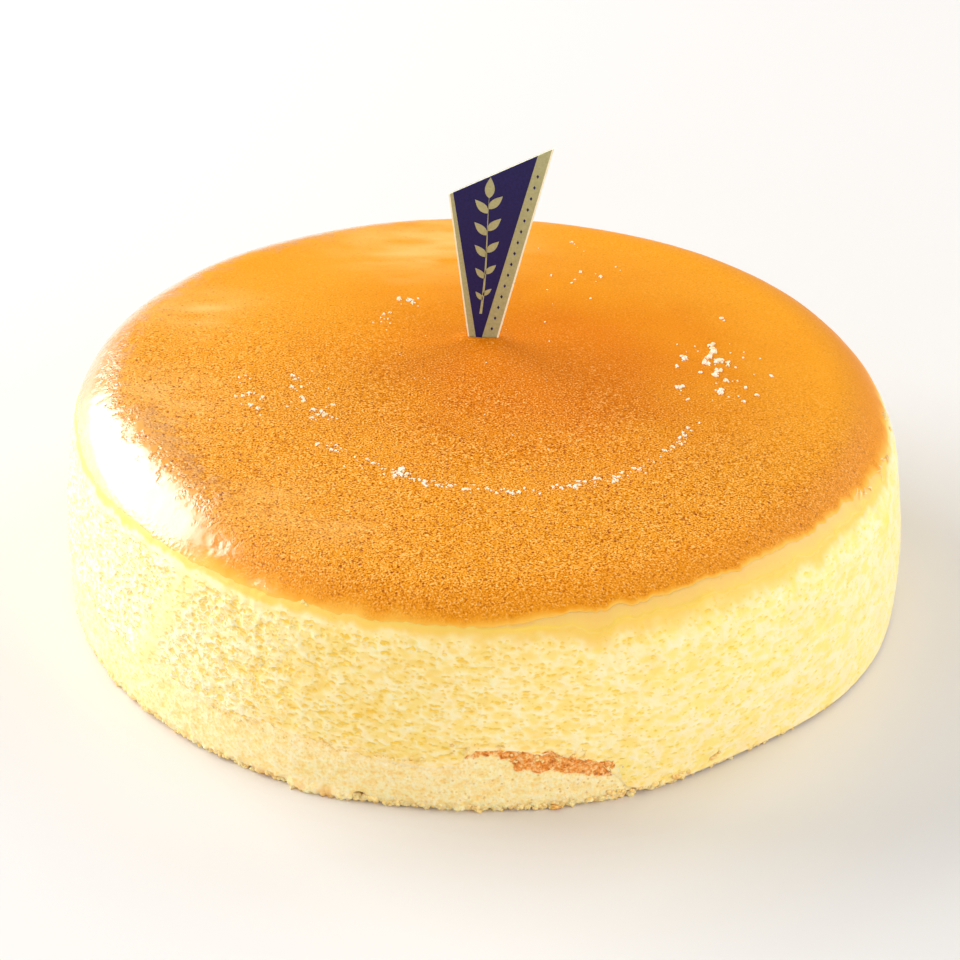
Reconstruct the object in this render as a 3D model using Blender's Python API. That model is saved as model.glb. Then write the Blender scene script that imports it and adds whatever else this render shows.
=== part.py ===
# Round souffle cheesecake, 15 cm across, on a thin sponge disc, with a small card pick stuck in its top.
# Metres, +Z up. The origin is the middle of the flat underside, and the front of the cake faces -Y.

import math

import bmesh
import bpy
from mathutils import Vector

MM = 0.001

# Cake body
CAKE_RADIUS = 75.0 * MM  # baked in a 15 cm round tin
EDGE_HEIGHT = 39.6 * MM  # where the rounded shoulder meets the top
SHOULDER_RADIUS = 13.1 * MM
SHOULDER_FOOT = EDGE_HEIGHT - SHOULDER_RADIUS  # the straight side ends here
TOP_EDGE_RADIUS = CAKE_RADIUS - SHOULDER_RADIUS  # the nearly flat top begins here
SIDE_BELLY = 0.8 * MM  # swelling of the side halfway up
CREST_RADIUS = 40.0 * MM  # ring on the top where the cake stands highest
CREST_RISE = 1.2 * MM
CENTRE_RISE = 0.7 * MM  # the middle has sunk a little below the crest
SIDE_STEPS = 6
SHOULDER_STEPS = 7
TOP_STEPS = 9
STEPS_AROUND = 96
FLAT_RING_RADIUS = CAKE_RADIUS / 2.0  # one ring of points on each flat round face

# Uneven outline: lobes round the cake: (cosine share, sine share), at the foot and at the top edge
FOOT_LOBES = {1: (-0.2 * MM, -0.5 * MM), 2: (-0.3 * MM, 0.3 * MM), 3: (0.6 * MM, 0.2 * MM)}
TOP_LOBES = {1: (0.2 * MM, 0.1 * MM), 2: (-0.9 * MM, -0.8 * MM), 3: (-0.8 * MM, 1.0 * MM)}

# Dent where the foot is worn back, at the front right
DENT_DEPTH = 2.0 * MM
DENT_ANGLE = math.radians(-50.0)
DENT_SPREAD = math.radians(16.0)
DENT_HEIGHT = 8.0 * MM

# Sponge disc under the souffle, a little thicker at the front left
SPONGE_THICKNESS = 10.0 * MM
SPONGE_TILT = 0.7 * MM  # extra thickness at the rim on its thick side
SPONGE_TILT_ANGLE = math.radians(-130.0)
FOOT_ROUNDING = 1.5 * MM
FOOT_STEPS = 3
SPONGE_SIDE_STEPS = 2

# Card pick: a tall slanted triangle, from its buried tip
PICK_TIP_DEPTH = 12.9 * MM
PICK_TIP_X = -1.8 * MM
PICK_Y = 15.1 * MM
PICK_LEFT_CORNER = (-6.5 * MM, 41.7 * MM)  # (across, up) from the tip
PICK_RIGHT_CORNER = (11.9 * MM, 51.4 * MM)
PICK_TIP_WIDTH = 0.6 * MM  # the tip is cut blunt
PICK_THICKNESS = 0.5 * MM
PICK_EDGE_ROUNDING = 0.08 * MM

FIT_GAP = 0.3 * MM  # kept between touching pieces
WELD_DISTANCE = 0.00001


def clear_scene():
    for item in list(bpy.data.objects):
        bpy.data.objects.remove(item, do_unlink=True)


def make_material(name, colour, roughness, subsurface=0.0):
    material = bpy.data.materials.new(name)
    material.use_nodes = True
    shader = material.node_tree.nodes["Principled BSDF"]
    shader.inputs["Base Color"].default_value = (*colour, 1.0)
    shader.inputs["Roughness"].default_value = roughness
    shader.inputs["Metallic"].default_value = 0.0
    shader.inputs["Subsurface Weight"].default_value = subsurface
    shader.inputs["Subsurface Scale"].default_value = 3.0 * MM
    return material


def ease(share):
    # smooth change from 0 to 1
    share = min(max(share, 0.0), 1.0)
    return share * share * (3.0 - 2.0 * share)


def lobes_at(lobes, angle):
    return sum(
        across * math.cos(count * angle) + along * math.sin(count * angle)
        for count, (across, along) in lobes.items()
    )


def angle_between(angle, middle):
    # signed turn from middle to angle, within half a turn
    return (angle - middle + math.pi) % (2.0 * math.pi) - math.pi


def outline_shift(angle, height):
    # how far the rim stands out from a true circle at this angle and height
    rise = ease(height / EDGE_HEIGHT)
    shift = lobes_at(FOOT_LOBES, angle) * (1.0 - rise) + lobes_at(TOP_LOBES, angle) * rise
    shift += SIDE_BELLY * math.sin(math.pi * min(height / SHOULDER_FOOT, 1.0))
    turn = angle_between(angle, DENT_ANGLE) / DENT_SPREAD
    shift -= DENT_DEPTH * math.exp(-turn * turn) * math.exp(-((height / DENT_HEIGHT) ** 2))
    return shift


def top_rise(radius):
    # height of the top above the shoulder's end: up to the crest, then down to the sunken middle
    if radius >= TOP_EDGE_RADIUS:
        return 0.0
    if radius >= CREST_RADIUS:
        return CREST_RISE * ease((TOP_EDGE_RADIUS - radius) / (TOP_EDGE_RADIUS - CREST_RADIUS))
    return CENTRE_RISE + (CREST_RISE - CENTRE_RISE) * ease(radius / CREST_RADIUS)


def seam_height(x, y):
    # plane between the sponge disc and the souffle
    toward_thick = x * math.cos(SPONGE_TILT_ANGLE) + y * math.sin(SPONGE_TILT_ANGLE)
    return SPONGE_THICKNESS + SPONGE_TILT * toward_thick / CAKE_RADIUS


def souffle_profile():
    # (radius, height) from the middle of its underside, out, up the side and over the shoulder
    side_length = SHOULDER_FOOT - SPONGE_THICKNESS
    points = [(0.0, SPONGE_THICKNESS), (FLAT_RING_RADIUS, SPONGE_THICKNESS)]
    for step in range(SIDE_STEPS):
        points.append((CAKE_RADIUS, SPONGE_THICKNESS + side_length * step / SIDE_STEPS))
    for step in range(SHOULDER_STEPS + 1):
        turn = 0.5 * math.pi * step / SHOULDER_STEPS
        points.append(
            (
                TOP_EDGE_RADIUS + SHOULDER_RADIUS * math.cos(turn),
                SHOULDER_FOOT + SHOULDER_RADIUS * math.sin(turn),
            )
        )
    for step in range(1, TOP_STEPS + 1):
        radius = TOP_EDGE_RADIUS * (1.0 - step / TOP_STEPS)
        points.append((radius, EDGE_HEIGHT + top_rise(radius)))
    return points


def sponge_profile():
    # (radius, height) from the middle of the underside to the middle of its top
    points = [(0.0, 0.0), (FLAT_RING_RADIUS, 0.0)]
    for step in range(FOOT_STEPS + 1):
        turn = 0.5 * math.pi * step / FOOT_STEPS
        points.append(
            (
                CAKE_RADIUS - FOOT_ROUNDING * (1.0 - math.sin(turn)),
                FOOT_ROUNDING * (1.0 - math.cos(turn)),
            )
        )
    side_length = SPONGE_THICKNESS - FOOT_ROUNDING
    for step in range(1, SPONGE_SIDE_STEPS + 1):
        points.append((CAKE_RADIUS, FOOT_ROUNDING + side_length * step / SPONGE_SIDE_STEPS))
    points.append((FLAT_RING_RADIUS, SPONGE_THICKNESS))
    points.append((0.0, SPONGE_THICKNESS))
    return points


def turn_profile(profile):
    # spin an open profile round the Z axis into one closed body
    mesh = bmesh.new()
    verts = [mesh.verts.new((radius, 0.0, height)) for radius, height in profile]
    edges = [mesh.edges.new(pair) for pair in zip(verts, verts[1:])]
    bmesh.ops.spin(
        mesh,
        geom=verts + edges,
        cent=(0.0, 0.0, 0.0),
        axis=(0.0, 0.0, 1.0),
        angle=2.0 * math.pi,
        steps=STEPS_AROUND,
        use_merge=True,
    )
    bmesh.ops.remove_doubles(mesh, verts=mesh.verts, dist=WELD_DISTANCE)
    return mesh


def shape_outline(mesh):
    # push each ring of the turned body out to the cake's uneven outline
    for vert in mesh.verts:
        radius = math.hypot(vert.co.x, vert.co.y)
        if radius < WELD_DISTANCE:
            continue
        angle = math.atan2(vert.co.y, vert.co.x)
        wider = radius + outline_shift(angle, vert.co.z) * radius / CAKE_RADIUS
        vert.co.x *= wider / radius
        vert.co.y *= wider / radius


def tilt_seam(mesh, fixed_height, gap):
    # lay the face at the sponge's thickness on the tilted seam; the change fades out at fixed_height
    for vert in mesh.verts:
        share = (vert.co.z - fixed_height) / (SPONGE_THICKNESS - fixed_height)
        share = min(max(share, 0.0), 1.0)
        vert.co.z += share * (seam_height(vert.co.x, vert.co.y) - SPONGE_THICKNESS + gap)


def finish_object(name, mesh, material, sharp_angle=35.0):
    bmesh.ops.recalc_face_normals(mesh, faces=mesh.faces)
    data = bpy.data.meshes.new(name)
    mesh.to_mesh(data)
    mesh.free()
    data.shade_smooth()
    data.set_sharp_from_angle(angle=math.radians(sharp_angle))
    data.materials.append(material)
    item = bpy.data.objects.new(name, data)
    bpy.context.scene.collection.objects.link(item)
    return item


def pick_outline(margin=0.0):
    # the four corners of the pick in its own plane (across, up), moved outward by a margin
    half_tip = PICK_TIP_WIDTH / 2.0
    corners = [
        Vector((-half_tip, 0.0)),
        Vector((half_tip, 0.0)),
        Vector(PICK_RIGHT_CORNER),
        Vector(PICK_LEFT_CORNER),
    ]
    moved = []
    for index, corner in enumerate(corners):
        before = (corner - corners[index - 1]).normalized()
        after = (corners[(index + 1) % len(corners)] - corner).normalized()
        out_before = Vector((before.y, -before.x))
        out_after = Vector((after.y, -after.x))
        moved.append(corner + (out_before + out_after) * margin / (1.0 + out_before.dot(out_after)))
    return moved


def make_pick_body(name, material, margin, thickness):
    surface = EDGE_HEIGHT + top_rise(PICK_Y)
    tip = Vector((PICK_TIP_X, PICK_Y - thickness / 2.0, surface - PICK_TIP_DEPTH))
    mesh = bmesh.new()
    verts = [
        mesh.verts.new(tip + Vector((across, 0.0, up))) for across, up in pick_outline(margin)
    ]
    face = mesh.faces.new(verts)
    pulled = bmesh.ops.extrude_face_region(mesh, geom=[face])["geom"]
    moved = [item for item in pulled if isinstance(item, bmesh.types.BMVert)]
    bmesh.ops.translate(mesh, vec=(0.0, thickness, 0.0), verts=moved)
    return finish_object(name, mesh, material, sharp_angle=20.0)


def add_souffle(material):
    mesh = turn_profile(souffle_profile())
    shape_outline(mesh)
    tilt_seam(mesh, SHOULDER_FOOT, FIT_GAP / 2.0)
    cake = finish_object("souffle_cake", mesh, material)
    cutter = make_pick_body("pick_slot_cutter", material, FIT_GAP, PICK_THICKNESS + 2.0 * FIT_GAP)
    cutter.hide_render = True
    cutter.display_type = "WIRE"
    slot = cake.modifiers.new("pick slot", "BOOLEAN")
    slot.operation = "DIFFERENCE"
    slot.solver = "EXACT"
    slot.object = cutter
    return cake


def add_sponge(material):
    mesh = turn_profile(sponge_profile())
    shape_outline(mesh)
    tilt_seam(mesh, FOOT_ROUNDING, -FIT_GAP / 2.0)
    return finish_object("sponge_base", mesh, material)


def add_pick(material):
    pick = make_pick_body("cake_pick", material, 0.0, PICK_THICKNESS)
    rounding = pick.modifiers.new("edge rounding", "BEVEL")
    rounding.width = PICK_EDGE_ROUNDING
    rounding.segments = 2
    rounding.limit_method = "ANGLE"
    return pick


def main():
    clear_scene()
    add_souffle(make_material("baked souffle", (0.80, 0.42, 0.09), 0.45, subsurface=0.3))
    add_sponge(make_material("sponge crumb", (0.90, 0.70, 0.36), 0.85, subsurface=0.2))
    add_pick(make_material("printed card", (0.02, 0.02, 0.09), 0.4))


main()
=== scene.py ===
import functools
import itertools
import math
import random

import bmesh
import bpy
import numpy as np
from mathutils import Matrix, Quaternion, Vector


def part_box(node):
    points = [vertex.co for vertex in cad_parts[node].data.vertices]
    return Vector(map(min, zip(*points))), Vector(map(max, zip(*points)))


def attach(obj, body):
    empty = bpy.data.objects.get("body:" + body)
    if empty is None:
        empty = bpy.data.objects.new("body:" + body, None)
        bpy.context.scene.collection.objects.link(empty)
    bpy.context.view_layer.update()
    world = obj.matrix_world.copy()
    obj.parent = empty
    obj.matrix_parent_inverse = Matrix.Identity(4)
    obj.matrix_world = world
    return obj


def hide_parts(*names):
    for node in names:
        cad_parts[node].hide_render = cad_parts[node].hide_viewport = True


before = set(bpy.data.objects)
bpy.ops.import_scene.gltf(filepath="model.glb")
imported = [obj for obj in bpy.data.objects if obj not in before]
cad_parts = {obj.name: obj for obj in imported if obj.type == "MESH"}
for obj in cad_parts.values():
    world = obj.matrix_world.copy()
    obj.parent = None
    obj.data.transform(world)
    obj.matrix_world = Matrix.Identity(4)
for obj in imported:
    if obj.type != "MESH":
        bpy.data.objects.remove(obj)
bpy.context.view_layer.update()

mm = 0.001
fullTurn = 2.0 * math.pi
souffleLow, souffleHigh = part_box("souffle_cake")
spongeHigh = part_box("sponge_base")[1]
pickLow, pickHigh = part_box("cake_pick")
print("stage: frame loaded")


# Small helpers for colours, nodes and objects

def linearColour(hexText):
    values = [int(hexText[i:i + 2], 16) / 255.0 for i in (1, 3, 5)]
    return [v / 12.92 if v <= 0.04045 else ((v + 0.055) / 1.055) ** 2.4 for v in values] + [1.0]


operationKeys = {"MixRGB": "blend_type", "MapRange": "interpolation_type"}


def addNode(material, kind, settings, output=0):
    # the kind may end with its operation; each setting is a value or an earlier output to join to a socket
    tree = material.node_tree
    kind, _, operation = kind.partition(" ")
    node = tree.nodes.new("ShaderNode" + kind)
    if operation:
        setattr(node, operationKeys.get(kind, "operation"), operation)
    for name, value in settings.items():
        if name == "ramp":  # colour stops as (place, colour)
            stops = node.color_ramp.elements
            while len(stops) < len(value):
                stops.new(0.5)
            for stop, (place, colour) in zip(stops, value):
                stop.position, stop.color = place, linearColour(colour)
        elif isinstance(value, bpy.types.NodeSocket):
            tree.links.new(value, node.inputs[name])
        elif isinstance(name, str) and hasattr(node, name):
            setattr(node, name, value)
        else:
            node.inputs[name].default_value = linearColour(value) if isinstance(value, str) else value
    return node.outputs[output]


def newMaterial(name):
    # gives the material and a function that adds a node to it
    material = bpy.data.materials.new(name)
    material.use_nodes = True
    material.node_tree.nodes.clear()
    return material, functools.partial(addNode, material)


def finishMaterial(material, shader):
    tree = material.node_tree
    tree.links.new(shader, tree.nodes.new("ShaderNodeOutputMaterial").inputs["Surface"])
    return material


def newMesh(name, points, faces, values=None):
    # values holds one number for each point, under the names that materials read them by
    mesh = bpy.data.meshes.new(name)
    mesh.from_pydata(points, [], faces)
    for key, perPoint in (values or {}).items():
        attribute = mesh.attributes.new(key, "FLOAT", "POINT")
        attribute.data.foreach_set("value", np.asarray(perPoint, np.float32))
    print(f"stage: {name} has {sum(len(face) - 2 for face in faces)} triangles")
    return mesh


def placePiece(name, mesh, material, nodes=(), smooth=True):
    piece = bpy.data.objects.new(name, mesh)
    bpy.context.scene.collection.objects.link(piece)
    mesh.materials.append(material)
    if smooth:
        mesh.shade_smooth()
    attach(piece, "root")
    if nodes:
        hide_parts(*nodes)
    return piece


# Noise read at points in space, so that it runs on unbroken round the cake

def latticeValue(ix, iy, iz, seed):
    # a repeatable random number from 0 to 1 for whole-numbered places, by mixing their bits
    h = (ix.astype(np.uint32) * np.uint32(73856093)) ^ (iy.astype(np.uint32) * np.uint32(19349663))
    h ^= (iz.astype(np.uint32) * np.uint32(83492791)) ^ np.uint32(seed * 7919 + 17)
    for shift, factor in ((13, 1274126177), (16, 2246822519)):
        h ^= h >> np.uint32(shift)
        h *= np.uint32(factor)
    h ^= h >> np.uint32(13)
    return h.astype(np.float64) / 4294967295.0


def ease(x):
    x = np.clip(x, 0.0, 1.0)
    return x * x * (3.0 - 2.0 * x)


def smoothNoise(points, size, seed):
    # soft random hills of the given size, from -1 to 1
    cell = np.floor(points / size)
    part = ease(points / size - cell)
    corner = cell.astype(np.int64)
    total = np.zeros(points.shape[:-1])
    for step in itertools.product((0, 1), repeat=3):
        share = 1.0
        for axis, onward in enumerate(step):
            share = share * (part[..., axis] if onward else 1 - part[..., axis])
        total += share * latticeValue(*(corner[..., axis] + step[axis] for axis in range(3)), seed)
    return total * 2.0 - 1.0


def fractalNoise(points, size, seed, octaves=3):
    total, weight = np.zeros(points.shape[:-1]), 0.0
    for step in range(octaves):
        share = 0.5 ** step
        total += share * smoothNoise(points, size * share, seed + step)
        weight += share
    return total / weight


def holes(across, down, cellAcross, cellDown, seed, fill=0.8, spread=0.55):
    # one oval hollow in most cells of a grid laid on the side: 0 between them, 1 at their floor
    cellsAround = round(fullTurn * cakeForm["radius"] / cellAcross)
    u = across / fullTurn * cellsAround
    v = down / cellDown
    iu, iv = np.floor(u).astype(np.int64), np.floor(v).astype(np.int64)
    deepest = np.zeros(u.shape)
    for du, dv in itertools.product((-1, 0, 1), repeat=2):
        cu, cv = iu + du, iv + dv
        key = np.mod(cu, cellsAround)
        drawn = [latticeValue(key, cv, key * 0 + kind, seed) for kind in range(5)]
        offU, offV = u - (cu + 0.15 + 0.7 * drawn[0]), v - (cv + 0.15 + 0.7 * drawn[1])
        size = spread * (0.55 + 0.9 * drawn[2])
        lean = 0.8 * (drawn[4] - 0.5)
        inside = np.clip(1.0 - (offU ** 2 + (offV + lean * offU) ** 2) / size ** 2, 0.0, 1.0)
        deepest = np.maximum(deepest, (drawn[3] < fill) * inside ** 0.8 * (0.5 + 0.5 * size / spread))
    return np.minimum(deepest, 1.0)


def aroundStops(stops, angle):
    # value between stops given as {degrees round the cake: value}
    degrees = sorted(stops)
    return np.interp(np.degrees(angle), degrees, [stops[d] for d in degrees], period=360.0)


def near(angle, middle, spread):
    # 1 at an angle round the cake, fading to 0 over the spread, in degrees
    off = (np.degrees(angle) - middle + 180.0) % 360.0 - 180.0
    return np.exp(-(off / spread) ** 2)


# The cake's outer form: the same uneven round as the solids, in smoother steps

cakeForm = {
    "radius": 75.0 * mm,
    "shoulder": 13.1 * mm,  # rounding from the top into the side
    "belly": 0.8 * mm,  # swelling of the side halfway up
    "crestRadius": 40.0 * mm,  # the top is highest along this ring
    "crestRise": 1.2 * mm,
    "centreRise": 0.7 * mm,
    "footLobes": {1: (-0.2 * mm, -0.5 * mm), 2: (-0.3 * mm, 0.3 * mm), 3: (0.6 * mm, 0.2 * mm)},
    "topLobes": {1: (0.2 * mm, 0.1 * mm), 2: (-0.9 * mm, -0.8 * mm), 3: (-0.8 * mm, 1.0 * mm)},
    "dentDepth": 2.0 * mm,  # worn foot at the front right
    "dentAngle": -50.0,
    "dentSpread": 16.0,
    "dentHeight": 8.0 * mm,
    "crowding": 0.42,  # points lie closer together at the front by this share
}
edgeHeight = souffleHigh.z - cakeForm["crestRise"]  # where the shoulder meets the top
shoulderFoot = edgeHeight - cakeForm["shoulder"]
topEdge = cakeForm["radius"] - cakeForm["shoulder"]
sideStart = topEdge + cakeForm["shoulder"] * math.pi / 2.0  # way from the middle to the straight side


def lobesAt(lobes, angle):
    return sum(a * np.cos(n * angle) + b * np.sin(n * angle) for n, (a, b) in lobes.items())


def outlineShift(angle, height):
    rise = ease(height / edgeHeight)
    shift = lobesAt(cakeForm["footLobes"], angle) * (1.0 - rise)
    shift = shift + lobesAt(cakeForm["topLobes"], angle) * rise
    shift = shift + cakeForm["belly"] * np.sin(math.pi * np.clip(height / shoulderFoot, 0.0, 1.0))
    dent = near(angle, cakeForm["dentAngle"], cakeForm["dentSpread"])
    return shift - cakeForm["dentDepth"] * dent * np.exp(-(height / cakeForm["dentHeight"]) ** 2)


def topRise(radius):
    outer = cakeForm["crestRise"] * ease((topEdge - radius) / (topEdge - cakeForm["crestRadius"]))
    lift = cakeForm["crestRise"] - cakeForm["centreRise"]
    inner = cakeForm["centreRise"] + lift * ease(radius / cakeForm["crestRadius"])
    return np.where(radius >= cakeForm["crestRadius"], outer, inner)


def surfacePoint(angle, way, lift):
    # point on the cake's skin: way is the distance walked from the middle of the top, over the shoulder
    # and down the side; lift is the height above the skin
    turned = np.clip((sideStart - way) / cakeForm["shoulder"], 0.0, math.pi / 2.0)
    onTop = way <= topEdge
    radius = np.where(onTop, way, topEdge + cakeForm["shoulder"] * np.cos(turned))
    rounded = shoulderFoot + cakeForm["shoulder"] * np.sin(turned)
    height = np.where(onTop, edgeHeight + topRise(way), rounded)
    height = np.where(way > sideStart, shoulderFoot - (way - sideStart), height)
    out = np.where(onTop, 0.0, np.cos(turned))
    up = np.where(onTop, 1.0, np.sin(turned))
    wide = radius + outlineShift(angle, height) * radius / cakeForm["radius"] + out * lift
    return np.stack([wide * np.cos(angle), wide * np.sin(angle), height + up * lift], -1)


def ringAngles(count):
    turn = np.arange(count) / count * fullTurn
    return turn - cakeForm["crowding"] * np.cos(turn)


def rimPoints(angle):
    return np.stack([np.cos(angle), np.sin(angle), 0.0 * angle], -1) * cakeForm["radius"]


# A mesh from rings of points, from one middle point to another. Each ring has as many points as the
# one before, twice or half as many, or one. Each row of faces has a chart that lays it on the bake map.

stripCount = 4  # a side is laid on its bake map in this many lengths


def newRings(*marks):
    return {"rings": [], "ways": [], "charts": [], "marks": {key: [] for key in marks}}


def addRing(made, points, way, chart, values=()):
    # the chart is for the row of faces from this ring to the next
    made["rings"].append(points)
    made["ways"].append(way)
    made["charts"].append(chart)
    for index, perRing in enumerate(made["marks"].values()):
        perRing.append(np.zeros(len(points)) + (values[index] if values else 0.0))


def rowShapes(counts):
    # faces of a row as corners (ring, steps onward), and which of its rings has fewer points
    if counts[0] == counts[1]:
        return [((0, 0), (1, 0), (1, 1), (0, 1))], None
    if counts[0] == 1:
        return [((0, 0), (1, 0), (1, 1))], 0
    if counts[1] == 1:
        return [((0, 0), (1, 0), (0, 1))], 1
    if counts[0] < counts[1]:
        return [((0, 0), (1, 0), (1, 1)), ((0, 0), (1, 1), (0, 2)), ((0, 2), (1, 1), (1, 2))], 0
    return [((0, 0), (1, 0), (0, 1)), ((0, 1), (1, 0), (1, 2)), ((0, 1), (1, 2), (0, 2))], 1


def ringMesh(name, made):
    rings, ways = made["rings"], made["ways"]
    starts = np.cumsum([0] + [len(ring) for ring in rings])
    faces, mapCorners = [], []
    for index, chart in enumerate(made["charts"][:-1]):
        counts = len(rings[index]), len(rings[index + 1])
        big = max(counts)
        shapes, fewer = rowShapes(counts)
        step = np.arange(big)[::2] if len(shapes) == 3 else np.arange(big)
        strip = np.floor(step / big * stripCount)
        for shape in shapes:
            corners, places = [], []
            for ring, onward in shape:
                count = counts[ring]
                column = (step + onward) * count // big if fewer == ring else step + onward
                corners.append(starts[index + ring] + column % count)
                turns = (step + 0.5) / big if count == 1 else column / count
                places.append(chart(turns, strip, ways[index + ring]))
            faces += np.stack(corners, 1).tolist()
            mapCorners.append(np.stack(places, 1).reshape(-1, 2))
    values = {key: np.concatenate(perRing) for key, perRing in made["marks"].items()}
    mesh = newMesh(name, np.concatenate(rings), faces, values)
    layer = mesh.uv_layers.new(name="OFBake")
    layer.data.foreach_set("uv", np.concatenate(mapCorners).astype(np.float32).ravel())
    return mesh


def discChart(middleX, middleY, reach, most):
    # a round face seen from above, with a way of most at reach from its middle
    def place(turns, strip, way):
        out, spin = reach * way / most, turns * fullTurn
        return np.stack([middleX + out * np.cos(spin), middleY + out * np.sin(spin)], -1)
    return place


def stripChart(last):
    # the side, cut into lengths that lie above each other
    def place(turns, strip, way):
        across = 0.01 + 0.98 * (turns * stripCount - strip)
        return np.stack([across, 0.12 + (strip + 0.04 + 0.92 * way / last) * 0.87 / stripCount], -1)
    return place


topChart = discChart(0.5, 0.5, 0.49, 80.0 * mm)
underChart = discChart(0.08, 0.08, 0.07, 80.0 * mm)
lidChart = discChart(0.06, 0.06, 0.05, 75.0 * mm)  # hidden faces have small places below the lengths
baseChart = discChart(0.18, 0.06, 0.05, 75.0 * mm)


# Top: baked skin of the cheesecake, thin, browned and satin

bakedTop = {
    # millimetres of skin past the edge of the flat top, by degrees round the cake
    "reach": {
        -177: 16.0, -160: 16.3, -145: 15.2, -130: 14.4, -115: 13.8, -106: 13.3, -92: 11.9, -78: 9.0, -60: 7.7,
        -43: 8.3, -30: 9.5, -16: 11.5, -5: 13.6, 30: 14.2, 75: 13.0, 120: 14.6,
    },
    "ragged": {-177: 0.3, -90: 0.4, -75: 0.8, -20: 1.0, 20: 0.4, 90: 0.4},  # mm
    # millimetres that it is thick at its edge
    "step": {-177: 0.05, -95: 0.04, -75: 0.03, -15: 0.03, 10: 0.04, 60: 0.06, 130: 0.05},
    "tuck": 0.40,  # and turned in below the crumb, over this way
    "tuckReach": {-180: 1.2, -98: 1.2, -84: 0.35, -8: 0.35, 10: 1.0, 90: 1.2},
    # millimetres over which the browning fades out towards the edge
    "fade": {
        -177: 3.6, -150: 3.8, -135: 4.2, -118: 4.2, -100: 3.4, -88: 2.4, -78: 1.6, -60: 1.5, -20: 2.2,
        -8: 3.0, 10: 3.4, 90: 3.0,
    },
    # millimetres from the edge inwards over which the skin stays smooth, before it turns grainy
    "smoothRim": {
        -180: 8.0, -172: 10.0, -164: 13.5, -145: 12.5, -137: 9.0, -132: 5.0, -125: 2.2, -112: 1.4, -85: 1.2,
        -60: 0.7, -20: 0.7, 10: 2.0, 60: 5.0, 120: 9.0,
    },
    "filmReach": 8.0,  # the glossy film breaks up over these millimetres beyond the smooth rim
    "filmShare": {-180: 1.0, -137: 1.0, -127: 0.2, -30: 0.2, 10: 1.0},  # how whole it is round the cake
    "depth": 0.9 * mm,  # skin with the set layer under it
    "hills": 0.22 * mm,  # broad unevenness
    "ripples": 0.04 * mm,
    "wrinkles": 0.06 * mm,  # fine creases where the skin has shrunk over the far left shoulder
    "dents": 0.03 * mm,
    # damp wrinkled patches: degrees round, millimetres from the edge, their spreads, height of the wrinkles
    "damp": [(-129.3, 5.0, 3.8, 2.9, 0.19 * mm), (-120.5, 1.9, 3.2, 1.1, 0.16 * mm)],
    # pale patches of painted sheen: millimetres right of and behind the middle, spread, strength
    "paintedSheen": [
        (-12.0, 53.0, 15.0, 0.75), (-54.0, 24.0, 10.0, 0.5), (-60.0, -2.0, 7.0, 0.4),
        (-55.0, -16.0, 12.0, 0.35), (-38.0, -44.0, 9.0, 0.3), (-24.0, -52.0, 8.0, 0.25),
    ],
    # a scuff along the front, as degrees round the cake and millimetres from the edge
    "scuff": {-106: 3.4, -98: 4.9, -91: 6.4, -81: 7.8, -79: 9.4},
    "lip": 0.5 * mm,  # the pick has pushed up the skin round itself
    "lipWidth": 0.9 * mm,
    "pointsAround": 896,
    "rings": 136,
    "ringPower": 1.25,  # rings lie closer together towards the edge
    "underRings": 9,
    "poreSpacing": 1.05 * mm,
    "pinholeSpacing": 0.62 * mm,
    "grain": 0.34 * mm,
}
pickCard = {
    # corners as millimetres right of and above the tip, which is in the cake
    "tipWidth": 0.6,
    "left": (-6.5, 41.7),
    "right": (11.9, 51.4),
}
pickTip = Vector((pickLow.x - pickCard["left"][0] * mm, 0.5 * (pickLow.y + pickHigh.y), pickLow.z))


def pickSide(side, height):
    # where the left or right edge of the pick is at a height
    acrossMm, upMm = pickCard[side]
    half = math.copysign(0.5 * pickCard["tipWidth"], acrossMm)
    return pickTip.x + (half + (acrossMm - half) * (height - pickTip.z) / (upMm * mm)) * mm


def skinEdge(angle):
    rim = rimPoints(angle)
    rough = fractalNoise(rim, 3.0 * mm, 11, 3) + 0.5 * fractalNoise(rim, 1.3 * mm, 13, 2)
    rough = aroundStops(bakedTop["ragged"], angle) * rough
    wander = 0.35 * smoothNoise(rim, 14.0 * mm, 15)
    return topEdge + (aroundStops(bakedTop["reach"], angle) + rough + wander) * mm


def dampPatch(angle, inside, patch):
    around, inward, spreadAround, spreadIn, _ = patch
    return near(angle, around, spreadAround) * np.exp(-((inside - inward) / spreadIn) ** 2)


def topLift(angle, way):
    flat = surfacePoint(angle, way, 0.0)
    inside = (skinEdge(angle) - way) / mm
    lift = bakedTop["hills"] * fractalNoise(flat, 22.0 * mm, 31, 2)
    lift = lift + bakedTop["ripples"] * fractalNoise(flat, 3.0 * mm, 35, 3)
    lift = lift + bakedTop["dents"] * smoothNoise(flat, 1.6 * mm, 39) * near(angle, -155.0, 40.0)
    creased = near(angle, 172.0, 20.0) * ease((way - topEdge + 3.0 * mm) / (5.0 * mm))
    bend = 2.5 * smoothNoise(flat, 6.0 * mm, 43)
    streaks = np.stack([angle * 75.0 + bend, way / mm * 0.5, 0.0 * angle], -1)
    lift = lift + bakedTop["wrinkles"] * creased * smoothNoise(streaks, 1.1, 41)
    for patch in bakedTop["damp"]:
        lift = lift + patch[-1] * dampPatch(angle, inside, patch) * smoothNoise(flat, 1.1 * mm, 37)
    entry = pickSide("left", souffleHigh.z), pickSide("right", souffleHigh.z)
    offX = np.maximum(np.maximum(entry[0] - flat[..., 0], flat[..., 0] - entry[1]), 0.0)
    away = np.hypot(offX, flat[..., 1] - pickTip.y)
    lip = bakedTop["lip"] * np.exp(-((away - bakedTop["lipWidth"]) / bakedTop["lipWidth"]) ** 2)
    return lift + lip


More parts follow.
